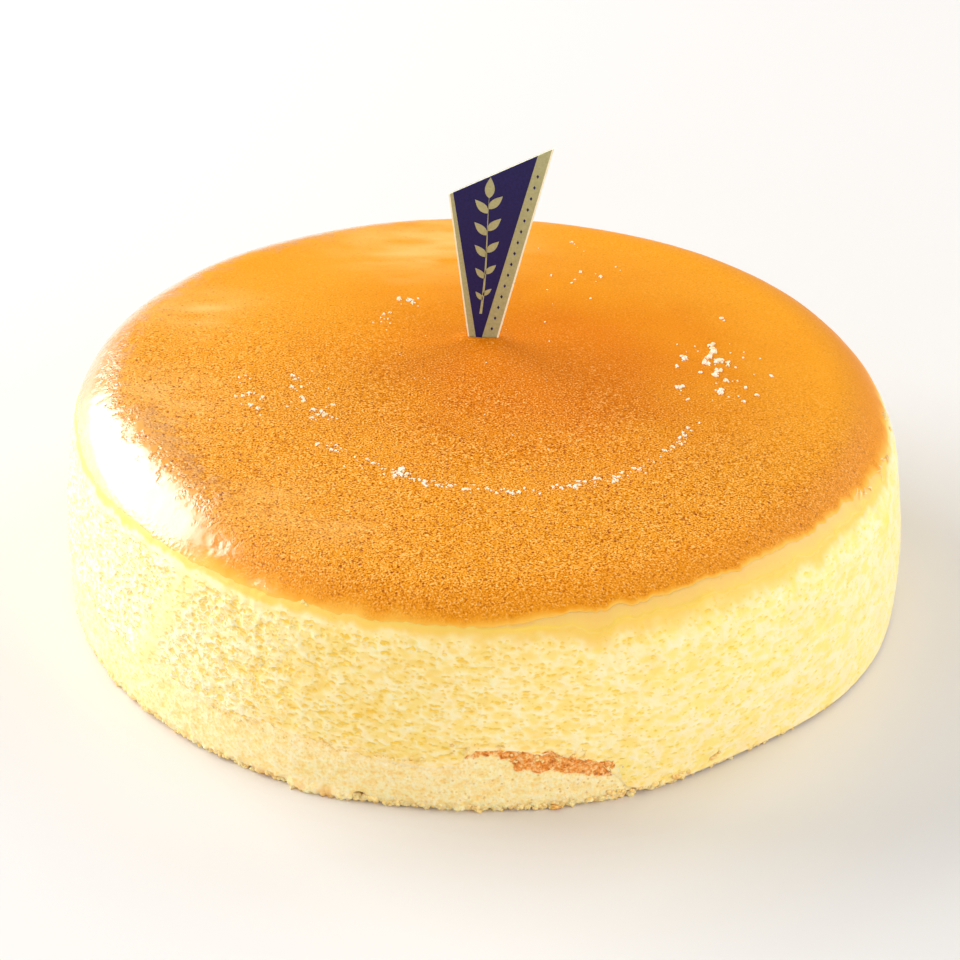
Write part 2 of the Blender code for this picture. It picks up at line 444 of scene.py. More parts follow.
def topMarks(angle, way, edge):
    # what the skin's material reads at points of the top
    flat, inside = surfacePoint(angle, way, 0.0), (edge - way) / mm
    uneven = 1.0 + 0.7 * fractalNoise(flat, 3.4 * mm, 45, 4)
    toast = np.clip(inside / (aroundStops(bakedTop["fade"], angle) * uneven), 0.0, 1.0)
    broken = 1.0 + 0.25 * fractalNoise(flat, 7.0 * mm, 49, 2) + 0.6 * fractalNoise(flat, 1.4 * mm, 50, 2)
    smoothRim = aroundStops(bakedTop["smoothRim"], angle) * broken
    damp = np.clip(sum(dampPatch(angle, inside, patch) for patch in bakedTop["damp"]), 0.0, 1.0)
    grainy = ease((inside / smoothRim - 0.75) / 0.35) * (1.0 - 0.8 * damp)
    film = 1.0 - ease((inside - smoothRim) / bakedTop["filmReach"])
    film = np.maximum(aroundStops(bakedTop["filmShare"], angle) * film, damp)
    scuffs = bakedTop["scuff"]
    wander = aroundStops(scuffs, angle) + 0.4 * smoothNoise(flat, 3.0 * mm, 52)
    ends = ease((np.degrees(angle) - min(scuffs)) / 2.0) * ease((max(scuffs) - np.degrees(angle)) / 2.0)
    line = ends * np.exp(-((inside - wander) / 0.35) ** 2) * (0.6 + 0.6 * smoothNoise(flat, 1.2 * mm, 54))
    # painted sheen: pale streaky patches, carried in the scuff mark together with the real scuff line
    streaks = 0.55 + 0.8 * fractalNoise(flat * [0.35, 1.0, 1.0], 3.0 * mm, 56, 3)
    paintedSheen = sum(
        much * np.exp(-((flat[:, 0] / mm - x) ** 2 + (flat[:, 1] / mm - y) ** 2) / spread ** 2)
        for x, y, spread, much in bakedTop["paintedSheen"]
    )
    return toast, grainy, film, np.clip(line + paintedSheen * streaks, 0.0, 1.0), inside


def buildTop():
    most, last, depth = bakedTop["pointsAround"], bakedTop["rings"], bakedTop["depth"]
    reach = 78.0 * mm  # way to the edge on the bake map
    made = newRings("toast", "grainy", "film", "scuff", "edgeMm")
    counts = [most]  # from the edge inwards, halved as the rings get smaller
    for index in range(last - 1, 0, -1):
        count = counts[-1]
        while count > 28 and index / last * most < count * 0.55:
            count //= 2
        counts.append(count)
    for index, count in enumerate([1] + counts[::-1]):
        angle = ringAngles(count)
        edge = skinEdge(angle)
        share = 1.0 - (1.0 - index / last) ** bakedTop["ringPower"]
        way = edge * share
        tuck = (aroundStops(bakedTop["step"], angle) + bakedTop["tuck"]) * mm
        nearEdge = np.clip(1.0 - (edge - way) / mm / aroundStops(bakedTop["tuckReach"], angle), 0.0, 1.0)
        points = surfacePoint(angle, way, topLift(angle, way) - tuck * nearEdge ** 2)
        chart = topChart if index < last else underChart
        addRing(made, points, reach * share, chart, topMarks(angle, way, edge))
    count = most
    for index in range(bakedTop["underRings"]):
        if index in (1, 2, 5, 6):
            count //= 2
        angle, inward = ringAngles(count), (0.25 + 7.0 * index) * mm
        lift = -depth * (0.6 if index == 0 else 1.0)
        addRing(made, surfacePoint(angle, skinEdge(angle) - inward, lift), reach - inward, underChart)
    addRing(made, surfacePoint(np.zeros(1), np.zeros(1), -depth), 0.0, None)
    return ringMesh("bakedTop", made)


# Custard skin, browned in the oven and left to dry to a satin film: orange-brown, full of pinhole pores,
# smooth enough at its rim to mirror a window whole, and breaking the light into sparks where it is grainy
def bakedSkinMaterial():
    material, add = newMaterial("bakedCustardSkin")
    place = add("TexCoord", {}, "Object")
    toast, grainy, edgeMm, film, scuff = [
        add("Attribute", {"attribute_name": key}, "Fac")
        for key in ("toast", "grainy", "edgeMm", "film", "scuff")
    ]
    # the skin dried faster towards the front and left, so pores and grain are stronger there
    towards = add("VectorMath DOT_PRODUCT", {0: place, 1: (-0.28, -0.94, 0.0)}, "Value")
    dry = add("MapRange SMOOTHSTEP", {
        "From Min": -30.0 * mm, "From Max": 28.0 * mm, "To Min": 0.15, "Value": towards,
    })
    inward = add("MapRange", {"From Min": 1.5, "From Max": 9.0, "To Min": 0.5, "Value": edgeMm})
    dry = add("Math MULTIPLY", {0: dry, 1: grainy})
    speckled = add("Math MULTIPLY", {0: dry, 1: inward})
    # browner round the pick and paler further out, unevenly
    fromPick = add("VectorMath DISTANCE", {0: place, 1: (10.0 * mm, 6.0 * mm, 40.0 * mm)}, "Value")
    broad = add("TexNoise", {"Scale": 1.0 / (14.0 * mm), "Detail": 3.0, "Vector": place})
    uneven = add("Math MULTIPLY_ADD", {0: broad, 1: 24.0 * mm, 2: fromPick})
    browning = add("MapRange SMOOTHSTEP", {"From Min": 20.0 * mm, "From Max": 66.0 * mm, "Value": uneven})
    brown = add("ValToRGB", {
        "ramp": [(0.0, "#D97806"), (0.5, "#E38B0E"), (1.0, "#EB991C")], "Fac": browning,
    })
    # deeper brown in a belt inside the edge
    belt = add("MapRange SMOOTHSTEP", {"From Min": 11.0, "From Max": 5.0, "To Max": 0.5, "Value": edgeMm})
    belted = add("MixRGB", {"Color2": "#E78A0E", "Fac": belt, "Color1": brown})
    # fine grain, 0.3 mm across: dark between, and pale specks where the film has lifted, partly a painted
    # sparkle
    grain = add("TexNoise", {"Scale": 1.0 / bakedTop["grain"], "Roughness": 0.6, "Vector": place})
    dark = add("ValToRGB", {"ramp": [(0.34, "#AE7C48"), (0.49, "#FFFFFF")], "Fac": grain})
    grained = add("MixRGB MULTIPLY", {"Fac": speckled, "Color1": belted, "Color2": dark})
    specksScuffAndSheen = add("MapRange", {"From Min": 0.56, "From Max": 0.66, "To Max": 0.95, "Value": grain})
    specksScuffAndSheen = add("Math MULTIPLY", {0: specksScuffAndSheen, 1: speckled})
    # the scuff mark also brings in the painted sheen of the pale patches on the top
    specksScuffAndSheen = add("Math MAXIMUM", {0: specksScuffAndSheen, 1: scuff})
    scuffedAndSheened = add("MixRGB", {"Color2": "#FFCE80", "Fac": specksScuffAndSheen, "Color1": grained})
    # pinhole pores about 0.4 mm wide
    cells = add("TexVoronoi", {"Scale": 1.0 / bakedTop["poreSpacing"], "Vector": place})
    hole = add("MapRange SMOOTHSTEP", {"From Min": 0.30, "From Max": 0.14, "Value": cells})
    draw = add("SeparateColor", {0: cells.node.outputs["Color"]})
    chosen = add("MapRange", {"From Min": 0.30, "From Max": 0.9, "Value": draw})
    pore = add("Math MULTIPLY", {0: hole, 1: chosen})
    # and smaller ones between
    dots = add("TexVoronoi", {"Scale": 1.0 / bakedTop["pinholeSpacing"], "Vector": place})
    pin = add("MapRange SMOOTHSTEP", {"From Min": 0.36, "From Max": 0.16, "To Max": 0.75, "Value": dots})
    pinDraw = add("SeparateColor", {0: dots.node.outputs["Color"]}, 1)
    some = add("MapRange", {"From Min": 0.35, "From Max": 0.8, "Value": pinDraw})
    pin = add("Math MULTIPLY", {0: pin, 1: some})
    pore = add("Math MAXIMUM", {0: pore, 1: pin})
    pore = add("Math MULTIPLY", {0: pore, 1: speckled})
    pored = add("MixRGB", {"Color2": "#963E02", "Fac": pore, "Color1": scuffedAndSheened})
    # unbrowned egg yellow towards the edge
    fading = add("ValToRGB", {
        "ramp": [(0.0, "#F8C45C"), (0.3, "#F6B444"), (0.7, "#F2A226"), (1.0, "#EC9310")], "Fac": toast,
    })
    full = add("MapRange", {"From Min": 0.25, "Value": toast})
    colour = add("MixRGB", {"Fac": full, "Color1": fading, "Color2": pored})
    # puckers 0.9 mm apart throw the window back as sparks where the film breaks up
    puckers = add("TexNoise", {"Scale": 1.0 / (0.9 * mm), "Detail": 1.0, "Vector": place})
    puckered = add("Math MULTIPLY", {0: film, 1: 3.0})
    relief = add("Math MULTIPLY_ADD", {0: pore, 1: -0.8, 2: grain})
    relief = add("Math MULTIPLY_ADD", {0: puckered, 1: puckers, 2: relief})
    # the unbrowned edge is a little rough like the crumb it joins
    raw = add("MapRange", {"From Min": 0.2, "To Min": 0.5, "To Max": 0.0, "Value": toast})
    rough = add("MapRange", {"To Min": 0.06, "To Max": 0.8, "Value": dry})
    rough = add("Math MAXIMUM", {0: rough, 1: raw})
    bump = add("Bump", {"Distance": 0.14 * mm, "Height": relief, "Strength": rough})
    gloss = add("MapRange", {"To Min": 0.26, "To Max": 0.19, "Value": film})
    # the glossy film of egg is whole on the left shoulder and worn thin elsewhere
    leftward = add("SeparateXYZ", {0: place})
    shoulder = add("MapRange SMOOTHSTEP", {
        "From Min": 5.0 * mm, "From Max": -38.0 * mm, "Value": leftward,
    })
    whole = add("Math MULTIPLY", {0: film, 1: shoulder})
    coat = add("MapRange", {"To Min": 0.06, "Value": whole})
    satin = add("MapRange", {"To Min": 0.45, "To Max": 0.22, "Value": whole})
    sheen = add("MapRange", {"From Min": 0.5, "To Min": 0.07, "To Max": 0.9, "Value": whole})
    shader = add("BsdfPrincipled", {
        "IOR": 1.45, "Coat IOR": 1.5, "Base Color": colour, "Normal": bump, "Coat Normal": bump,
        "Coat Roughness": gloss, "Coat Weight": coat, "Roughness": satin, "Specular IOR Level": sheen,
    })
    return finishMaterial(material, shader)


placePiece("bakedTop", buildTop(), bakedSkinMaterial(), ["souffle_cake"])


# Side: crumb of the souffle, torn open by the paper at the left and smooth at the right

souffleSide = {
    # how torn the crumb is, by degrees round the cake
    "openness": {
        -180: 1.0, -132: 1.0, -118: 0.85, -100: 0.6, -80: 0.45, -55: 0.4, -25: 0.22,
        20: 0.35, 60: 0.6, 110: 0.8,
    },
    # holes: width and height of their cells, depth, seed, share of cells filled and how much more of them
    # where it is torn, size in their cell
    "bigHoles": (2.7 * mm, 1.4 * mm, 0.60 * mm, 71, 0.28, 0.35, 0.55),
    "mediumHoles": (1.6 * mm, 1.0 * mm, 0.50 * mm, 81, 0.35, 0.6, 0.55),
    "smallHoles": (1.0 * mm, 0.75 * mm, 0.30 * mm, 91, 0.4, 0.6, 0.6),
    "seamHoles": (1.7 * mm, 1.1 * mm, 0.75 * mm, 95, 0.75, 0.0, 0.6),
    "lumps": 0.30 * mm,
    "grain": 0.07 * mm,
    "tornLumps": 0.26 * mm,  # where the paper has pulled the crumb open
    "ridges": 0.12 * mm,  # net of torn walls at the left
    # millimetres of deeper yellow under the skin
    "glow": {-180: 1.2, -130: 1.2, -100: 1.5, -85: 3.0, -70: 4.6, -55: 4.6, -42: 3.2, -25: 2.2, 0: 1.6},
    "seamFrom": (-122.0, -69.0),  # a row of holes runs along the souffle's foot between these angles
    "bend": 0.45 * mm,  # holes are bent out of round by this much
    # millimetres above the plate at which the souffle ends; at the right it has run down over the sponge
    "foot": {
        -180: 10.4, -150: 10.6, -130: 10.6, -115: 10.9, -108: 10.0, -103: 9.4, -95: 9.3, -92: 10.0,
        -90: 13.0, -85: 13.4, -83: 12.3, -80: 11.6, -77: 10.3, -74: 8.6, -72: 6.0, -70: 2.5, -67: 0.9,
        -20: 0.8, 10: 0.8, 40: 4.0, 60: 9.5, 120: 10.3,
    },
    "footRagged": 0.7 * mm,
    # millimetres of smooth pale band where the skin has come away with the paper
    "band": {
        -92: 0.0, -84: 1.2, -76: 3.4, -60: 2.9, -45: 3.5, -36: 3.6, -31: 2.4, -22: 2.6, -10: 0.8, 0: 0.0,
    },
    "bandDepth": 0.10 * mm,
    "creaseAngle": -133.0,  # smooth fold left by a wrinkle of the paper
    "creaseLean": 0.32,  # degrees round for each millimetre down
    "dripAngle": -19.0,
    "dripHeight": 28.0 * mm,
    "hidden": 2.5 * mm,  # the crumb starts this far inside the skin's edge, below it
    "footIn": 0.07 * mm,  # and its last ring is this far behind the sponge
    "jointReach": 1.1 * mm,  # light isn't let in so near the joint with the sponge
    "pointsAround": 900,
    "shoulderRings": 32,
    "sideRings": 62,
}


def bandEdge(angle):
    width = aroundStops(souffleSide["band"], angle)
    return skinEdge(angle) + width * (1.0 + 0.35 * fractalNoise(rimPoints(angle), 5.0 * mm, 21, 3)) * mm


def souffleFoot(angle):
    foot = aroundStops(souffleSide["foot"], angle)
    rim = rimPoints(angle)
    ragged = fractalNoise(rim, 4.0 * mm, 61, 3) + 0.8 * fractalNoise(rim, 1.5 * mm, 62, 3)
    ragged = souffleSide["footRagged"] * ragged
    return foot * mm + ragged * ease((foot - 2.0) / 3.0)


def holeField(kind, across, down, openness):
    wide, high, _, seed, fill, more, spread = souffleSide[kind]
    return holes(across, down, wide, high, seed, fill=fill + more * openness, spread=spread)


def sideMarks(angle, way, height):
    # lift of the crumb above the cake's form, and what colours it, at points of the side
    form, degrees = souffleSide, np.degrees(angle)
    flat, rim = surfacePoint(angle, way, 0.0), rimPoints(angle)
    edge, band, foot = skinEdge(angle), bandEdge(angle), souffleFoot(angle)
    openness = aroundStops(form["openness"], angle)
    past = (way - np.maximum(edge, band)) / mm  # millimetres below the skin and the band
    settled = ease(past / (0.7 + 1.8 * ease((degrees + 105.0) / 30.0)))
    leaning = form["creaseAngle"] - form["creaseLean"] * (30.0 - height / mm)
    crease = near(angle, leaning, 1.9) * ease(past / 2.0)
    crease = crease * (0.7 + 0.5 * fractalNoise(rim + height[:, None], 4.0 * mm, 73, 2))
    settled = settled * (1.0 - 0.9 * crease)
    # holes bent out of round; light from above leaves their upper half darker
    patchy = 0.8 + 0.5 * fractalNoise(flat, 9.0 * mm, 51, 2)
    across = angle + form["bend"] / cakeForm["radius"] * fractalNoise(flat, 1.5 * mm, 63, 2)
    down = way + 0.6 * form["bend"] * fractalNoise(flat, 1.3 * mm, 66, 2)
    small = holeField("smallHoles", across, down, openness)
    deep, shade = form["smallHoles"][2] * small, 0.5 * small
    for kind, lower in (("bigHoles", 0.2 * mm), ("mediumHoles", 0.16 * mm)):
        deep = np.maximum(deep, form[kind][2] * holeField(kind, across, down, openness))
        shade = np.maximum(shade, holeField(kind, across, down + lower, openness))
    deep, pit = deep * settled * patchy * (0.08 + 0.62 * openness), settled * shade
    first, last = form["seamFrom"]
    seam = ease((degrees - first) / 3.0) * ease((last - degrees) / 3.0)
    seam = seam * np.exp(-((height - foot - 0.7 * mm) / (0.7 * mm)) ** 2)
    row = seam * holeField("seamHoles", across, down, 0.0)
    deep, pit = np.maximum(deep, form["seamHoles"][2] * row), np.maximum(pit, 1.6 * row)
    # lumps and a net of walls where it is torn, with painted shade in the hollows between the walls and
    # painted light on the lumps
    torn = settled * ease((openness - 0.5) / 0.4)
    lump = fractalNoise(flat * [1.0, 1.0, 1.25], 1.7 * mm, 76, 2)
    walls = np.clip(1.0 - np.abs(fractalNoise(flat * [1.0, 1.0, 1.5], 2.0 * mm, 68, 2)) / 0.22, 0.0, 1.0)
    hollows = 0.6 * torn * (1.0 - walls) * ease(1.2 * patchy - 0.4)
    pit = np.clip(np.maximum(pit * (1.0 - 0.6 * torn * walls), hollows) - 0.75 * torn * lump, 0.0, 1.3)
    drip = near(angle, form["dripAngle"], 1.8) * np.exp(-((height - form["dripHeight"]) / (3.2 * mm)) ** 2)
    onBand = ease((band - way) / (0.7 * mm)) * ease((band - edge) / (0.5 * mm))
    lift = form["lumps"] * fractalNoise(flat, 16.0 * mm, 55, 2) * ease(past / 5.0)
    lift = lift + topLift(angle, way) * (1.0 - ease(past / 5.0))
    lift = lift + form["grain"] * fractalNoise(flat, 1.6 * mm, 57, 2) * settled
    lift = lift - deep + 0.15 * mm * crease + 0.6 * mm * drip - form["bandDepth"] * onBand
    lift = lift + torn * (form["ridges"] * (ease(walls) - 0.5) + form["tornLumps"] * lump)
    lift = lift + 0.10 * mm * fractalNoise(flat, 1.1 * mm, 69, 2) * (1.0 - settled) * (1.0 - onBand)
    # the skin has left a low fold along the foot of the band, and creases on it
    fold = np.exp(-((way - band) / (0.4 * mm)) ** 2) * ease((band - edge) / (1.2 * mm))
    fold = fold * (0.5 + smoothNoise(flat, 5.0 * mm, 74))
    lift = lift + 0.26 * mm * fold
    lift = lift + 0.08 * mm * onBand * fractalNoise(flat * [1.0, 1.0, 2.5], 2.0 * mm, 75, 3)
    upper = np.clip((band - way) / np.maximum(band - edge, 0.5 * mm), 0.0, 1.0)
    frayed = past + 1.1 * fractalNoise(flat, 2.2 * mm, 70, 3)
    glow = ease(1.0 - frayed / aroundStops(form["glow"], angle))
    glow = glow * (1.0 - ease((band - way) / (0.4 * mm)) * onBand)
    # crust shows through the lowest holes above the bared part, and in those of the seam
    stain = ease((degrees + 93.0) / 3.0) * ease((-69.5 - degrees) / 3.0)
    stain = stain * ease(1.3 - (height - foot) / (1.1 * mm) + 1.4 * fractalNoise(flat, 1.2 * mm, 72, 2))
    return lift, {
        "pit": pit, "band": onBand * (0.35 + 0.65 * upper),
        "lemon": np.maximum(drip, 0.5 * crease + 0.7 * fold),
        "glow": glow, "open": np.maximum(settled * openness, 0.95 * seam),
        "stain": np.clip(np.maximum(stain, 1.1 * row), 0.0, 1.0),
        "joint": np.exp(-((height - foot) / form["jointReach"]) ** 2),
    }


def buildSide():
    angle = ringAngles(souffleSide["pointsAround"])
    edge, wayEnd = skinEdge(angle), sideStart + shoulderFoot - souffleFoot(angle)
    shoulderRings = souffleSide["shoulderRings"]
    total = shoulderRings + souffleSide["sideRings"]
    made = newRings("pit", "band", "lemon", "glow", "open", "stain", "joint")
    sideChart = stripChart(total * mm)
    addRing(made, np.array([[0.0, 0.0, edgeHeight - 2.0 * mm]]), 0.0, lidChart)
    sunk = surfacePoint(angle, edge - souffleSide["hidden"] - 1.0 * mm, -bakedTop["depth"] - 0.6 * mm)
    addRing(made, sunk, 75.0 * mm, lidChart)
    for index in range(total + 1):
        onShoulder = min(index / shoulderRings, 1.0)
        onSide = max(index - shoulderRings, 0) / souffleSide["sideRings"]
        way = (edge - souffleSide["hidden"]) * (1.0 - onShoulder) + sideStart * onShoulder
        way = way + (wayEnd - sideStart) * onSide
        lift, looks = sideMarks(angle, way, surfacePoint(angle, way, 0.0)[:, 2])
        inside = (edge - way) / mm
        # it sinks below the skin
        under = ease((inside - 0.85 * aroundStops(bakedTop["tuckReach"], angle)) / 0.9)
        step = aroundStops(bakedTop["step"], angle) * mm * ease(1.0 - (way - bandEdge(angle)) / (1.5 * mm))
        lift = (lift - step) * (1.0 - under) - under * (bakedTop["depth"] + 0.1 * mm)
        lift = lift - souffleSide["footIn"] * (index == total)
        chart = sideChart if index < total else baseChart
        addRing(made, surfacePoint(angle, way, lift), index * mm, chart, list(looks.values()))
    # closed below: in behind the sponge, then up over its rim
    for inset, rise in ((0.03, -0.12), (0.6, 0.02), (1.4, 0.15), (2.4, 0.6)):
        ring = surfacePoint(angle, wayEnd, -souffleSide["footIn"] - inset * mm)
        ring[:, 2] = ring[:, 2] + rise * mm
        addRing(made, ring, 70.0 * mm - inset * mm, baseChart)
    roof = ring * [0.995, 0.995, 1.0]
    roof[:, 2] = np.maximum(roof[:, 2] + 0.2 * mm, spongeRim(angle) + 0.3 * mm)
    addRing(made, roof, 66.0 * mm, baseChart)
    addRing(made, np.array([[0.0, 0.0, souffleLow.z + 0.8 * mm]]), 0.0, None)
    return ringMesh("souffleSide", made)


def addFoam(add, place, torn, cell, flatten, cover, widest, soft):
    # flattened holes of mixed size in cells of this size, more and wider where the crumb is torn open: gives
    # their depth, and the tone that light from above leaves in them, darker at the top and paler at the foot
    flat = add("VectorMath MULTIPLY", {0: place, 1: (1.0, 1.0, flatten)})
    cells = add("TexVoronoi", {"Scale": 1.0 / cell, "Vector": flat}, "Color")
    draw = add("SeparateColor", {0: cells})
    more = add("Math MULTIPLY_ADD", {0: torn, 1: 0.75, 2: cover - 1.0})
    size = add("Math", {0: draw, 1: more})
    size = add("Math MULTIPLY", {0: size, 1: widest})
    inside = add("Math SUBTRACT", {0: size, 1: cells.node.outputs["Distance"]})
    hole = add("MapRange", {"From Min": -0.02, "From Max": soft, "Value": inside})
    offset = add("VectorMath SUBTRACT", {0: flat, 1: cells.node.outputs["Position"]})
    offset = add("SeparateXYZ", {0: offset}, "Z")
    upper = add("Math MULTIPLY_ADD", {0: offset, 1: 1.5 / cell, 2: 0.6})
    tone = add("Math MULTIPLY", {0: hole, 1: upper})
    return hole, tone


# Souffle crumb, set egg foam with a damp torn face: pale lemon-cream walls, deeper yellow painted as shade in
# the holes, painted wet glints on the ridges, painted light on the left where the window lamp falls, and a
# soft glow because light goes a little way in
def crumbMaterial():
    material, add = newMaterial("souffleCrumb")
    place = add("TexCoord", {}, "Object")
    pit, band, lemon, torn, glow, stain, joint = [
        add("Attribute", {"attribute_name": key}, "Fac")
        for key in ("pit", "band", "lemon", "open", "glow", "stain", "joint")
    ]
    apart = add("SeparateXYZ", {0: place})
    # bent out of round
    wander = add("TexNoise", {"Scale": 1.0 / (1.2 * mm), "Vector": place}, "Color")
    drift = add("VectorMath MULTIPLY_ADD", {0: wander, 1: (0.9 * mm,) * 3, 2: place})
    # foam holes, with painted shade darker in their upper halves
    coarse, coarseShade = addFoam(add, drift, torn, 2.1 * mm, 2.3, 0.38, 0.58, 0.14)
    fine, fineShade = addFoam(add, drift, torn, 1.0 * mm, 1.6, 0.50, 0.66, 0.18)
    fine = add("Math MULTIPLY", {0: fine, 1: 0.7})
    hole = add("Math MAXIMUM", {0: coarse, 1: fine})
    tone = add("Math MULTIPLY_ADD", {0: fineShade, 1: 0.85, 2: coarseShade})
    tone = add("Math MULTIPLY_ADD", {0: tone, 1: 0.62, 2: 0.22})
    # half-tone for the colour: painted shade in the holes and pits, from pale ridges to deep yellow
    half = add("Math MULTIPLY_ADD", {0: pit, 1: 0.36, 2: tone})
    # peach at the front and lemon at the right; paler cream at the left is painted light where the window
    # lamp falls on that side
    right = add("MapRange SMOOTHSTEP", {"From Min": 5.0 * mm, "From Max": 50.0 * mm, "Value": apart})
    peach = add("ValToRGB", {
        "ramp": [(0.0, "#FFEFD0"), (0.28, "#FFE9B6"), (0.55, "#FFDE88"), (1.0, "#FACC4C")], "Fac": half,
    })
    yellow = add("ValToRGB", {
        "ramp": [(0.0, "#FFECCC"), (0.28, "#FFEABC"), (0.55, "#FFE68E"), (1.0, "#FCDA46")], "Fac": half,
    })
    left = add("MapRange SMOOTHSTEP", {"From Min": -26.0 * mm, "From Max": -66.0 * mm, "Value": apart})
    windowLitCream = add("ValToRGB", {
        "ramp": [(0.0, "#FBF2D6"), (0.28, "#FAEDC8"), (0.55, "#F8E6AE"), (1.0, "#F4D680")], "Fac": half,
    })
    crumb = add("MixRGB", {"Fac": right, "Color1": peach, "Color2": yellow})
    crumb = add("MixRGB", {"Fac": left, "Color1": crumb, "Color2": windowLitCream})
    mottle = add("TexNoise", {"Scale": 1.0 / (5.0 * mm), "Detail": 3.0, "Vector": place})
    patches = add("ValToRGB", {
        "ramp": [(0.35, "#FFFFFF"), (0.55, "#FFFAE8"), (0.75, "#FFF2C8")], "Fac": mottle,
    })
    patched = add("MixRGB MULTIPLY", {"Fac": 0.7, "Color1": crumb, "Color2": patches})
    # torn walls: a net of damp ridges 1.5 mm apart, raised a little and painted pale as glints of light
    web = add("TexNoise", {"Scale": 1.0 / (1.5 * mm), "Detail": 1.5, "Vector": drift})
    off = add("Math SUBTRACT", {0: web, 1: 0.5})
    off = add("Math ABSOLUTE", {0: off})
    ridgeAndGlint = add("MapRange SMOOTHSTEP", {"From Min": 0.055, "From Max": 0.0, "Value": off})
    tornMost = add("MapRange SMOOTHSTEP", {"From Min": 0.65, "To Max": 0.8, "Value": torn})
    ridgeAndGlint = add("Math MULTIPLY", {0: ridgeAndGlint, 1: tornMost})
    # the painted glints are whiter at the left, where the window lamp falls
    paintedGlint = add("MixRGB", {"Color1": "#FFF5D4", "Color2": "#FFF9E6", "Fac": left})
    withPaintedGlints = add("MixRGB", {"Fac": ridgeAndGlint, "Color1": patched, "Color2": paintedGlint})
    lemoned = add("MixRGB", {"Color2": "#F8E36A", "Fac": lemon, "Color1": withPaintedGlints})
    # the band where the skin came away runs from pinkish cream down to yellow
    bandTone = add("ValToRGB", {
        "ramp": [(0.32, "#FBD04C"), (0.6, "#F9CA5C"), (0.95, "#F7C260")], "Fac": band,
    })
    onBand = add("MapRange", {"From Max": 0.32, "To Max": 0.9, "Value": band})
    banded = add("MixRGB", {"Fac": onBand, "Color1": lemoned, "Color2": bandTone})
    # deeper yellow just below the skin
    glowing = add("Math MULTIPLY", {0: glow, 1: 0.85})
    glowed = add("MixRGB", {"Color2": "#F9C848", "Fac": glowing, "Color1": banded})
    stained = add("Math ADD", {0: half, 1: 0.35})
    stained = add("Math MULTIPLY", {0: stained, 1: stain, "use_clamp": True})
    colour = add("MixRGB", {"Color2": "#E08A34", "Fac": stained, "Color1": glowed})
    # foam cells 0.3 mm across, drawn at 0.45 mm so that they show; heights in millimetres
    foam = add("TexNoise", {"Scale": 1.0 / (0.45 * mm), "Vector": place})
    deep = add("Math MULTIPLY", {0: hole, 1: -0.15})
    walls = add("Math MULTIPLY_ADD", {0: ridgeAndGlint, 1: 0.05, 2: deep})
    tooth = add("Math MULTIPLY_ADD", {0: foam, 1: 0.09, 2: walls})
    rough = add("MapRange", {"From Min": 0.1, "From Max": 0.9, "To Min": 0.35, "Value": torn})
    bump = add("Bump", {"Distance": 1.0 * mm, "Height": tooth, "Strength": rough})
    damp = add("MapRange", {"From Min": 0.3, "To Min": 0.45, "To Max": 0.27, "Value": torn})
    # light doesn't pass through the joint with the sponge
    held = add("MapRange", {"From Max": 0.9, "To Min": 0.6, "To Max": 0.0, "Value": joint})
    shader = add("BsdfPrincipled", {
        "IOR": 1.40, "Subsurface Radius": (1.0, 0.75, 0.4), "Subsurface Scale": 0.9 * mm,
        "Base Color": colour, "Normal": bump, "Roughness": damp, "Subsurface Weight": held,
    })
    return finishMaterial(material, shader)


# Base: disc of sponge, with its baked upper crust bared at the front

spongeDisc = {
    # millimetres behind the souffle
    "recess": {-180: 0.02, -100: 0.02, -94: 0.0, -71: 0.0, -67.5: 1.0, 40: 1.0, 70: 0.1, 120: 0.1},
    "recessWander": 0.12 * mm,
    "overlap": 0.4 * mm,  # it stands up behind the souffle's foot
    "lowestRim": 1.3 * mm,  # below its full height
    "holes": 0.14 * mm,
    "grain": 0.10 * mm,
    "ragged": 0.7 * mm,  # broken lower edge
    "beads": 0.45 * mm,  # crumbs hanging on along it
    # lower edge of the bared brown crust, in millimetres above the plate
    "crustFoot": {-94: 14.0, -92: 11.8, -86.5: 11.9, -85: 9.3, -80: 8.4, -75: 6.9, -72.5: 5.6, -70: 5.0},
    "crustEnds": (-92.5, -70.5),
    "chunkAngle": -109.0,  # a broken piece of the foot stands out here
    "pointsAround": 1300,
    "sideRings": 40,
}


def spongeRim(angle):
    return np.maximum(souffleFoot(angle) + spongeDisc["overlap"], spongeHigh.z - spongeDisc["lowestRim"])


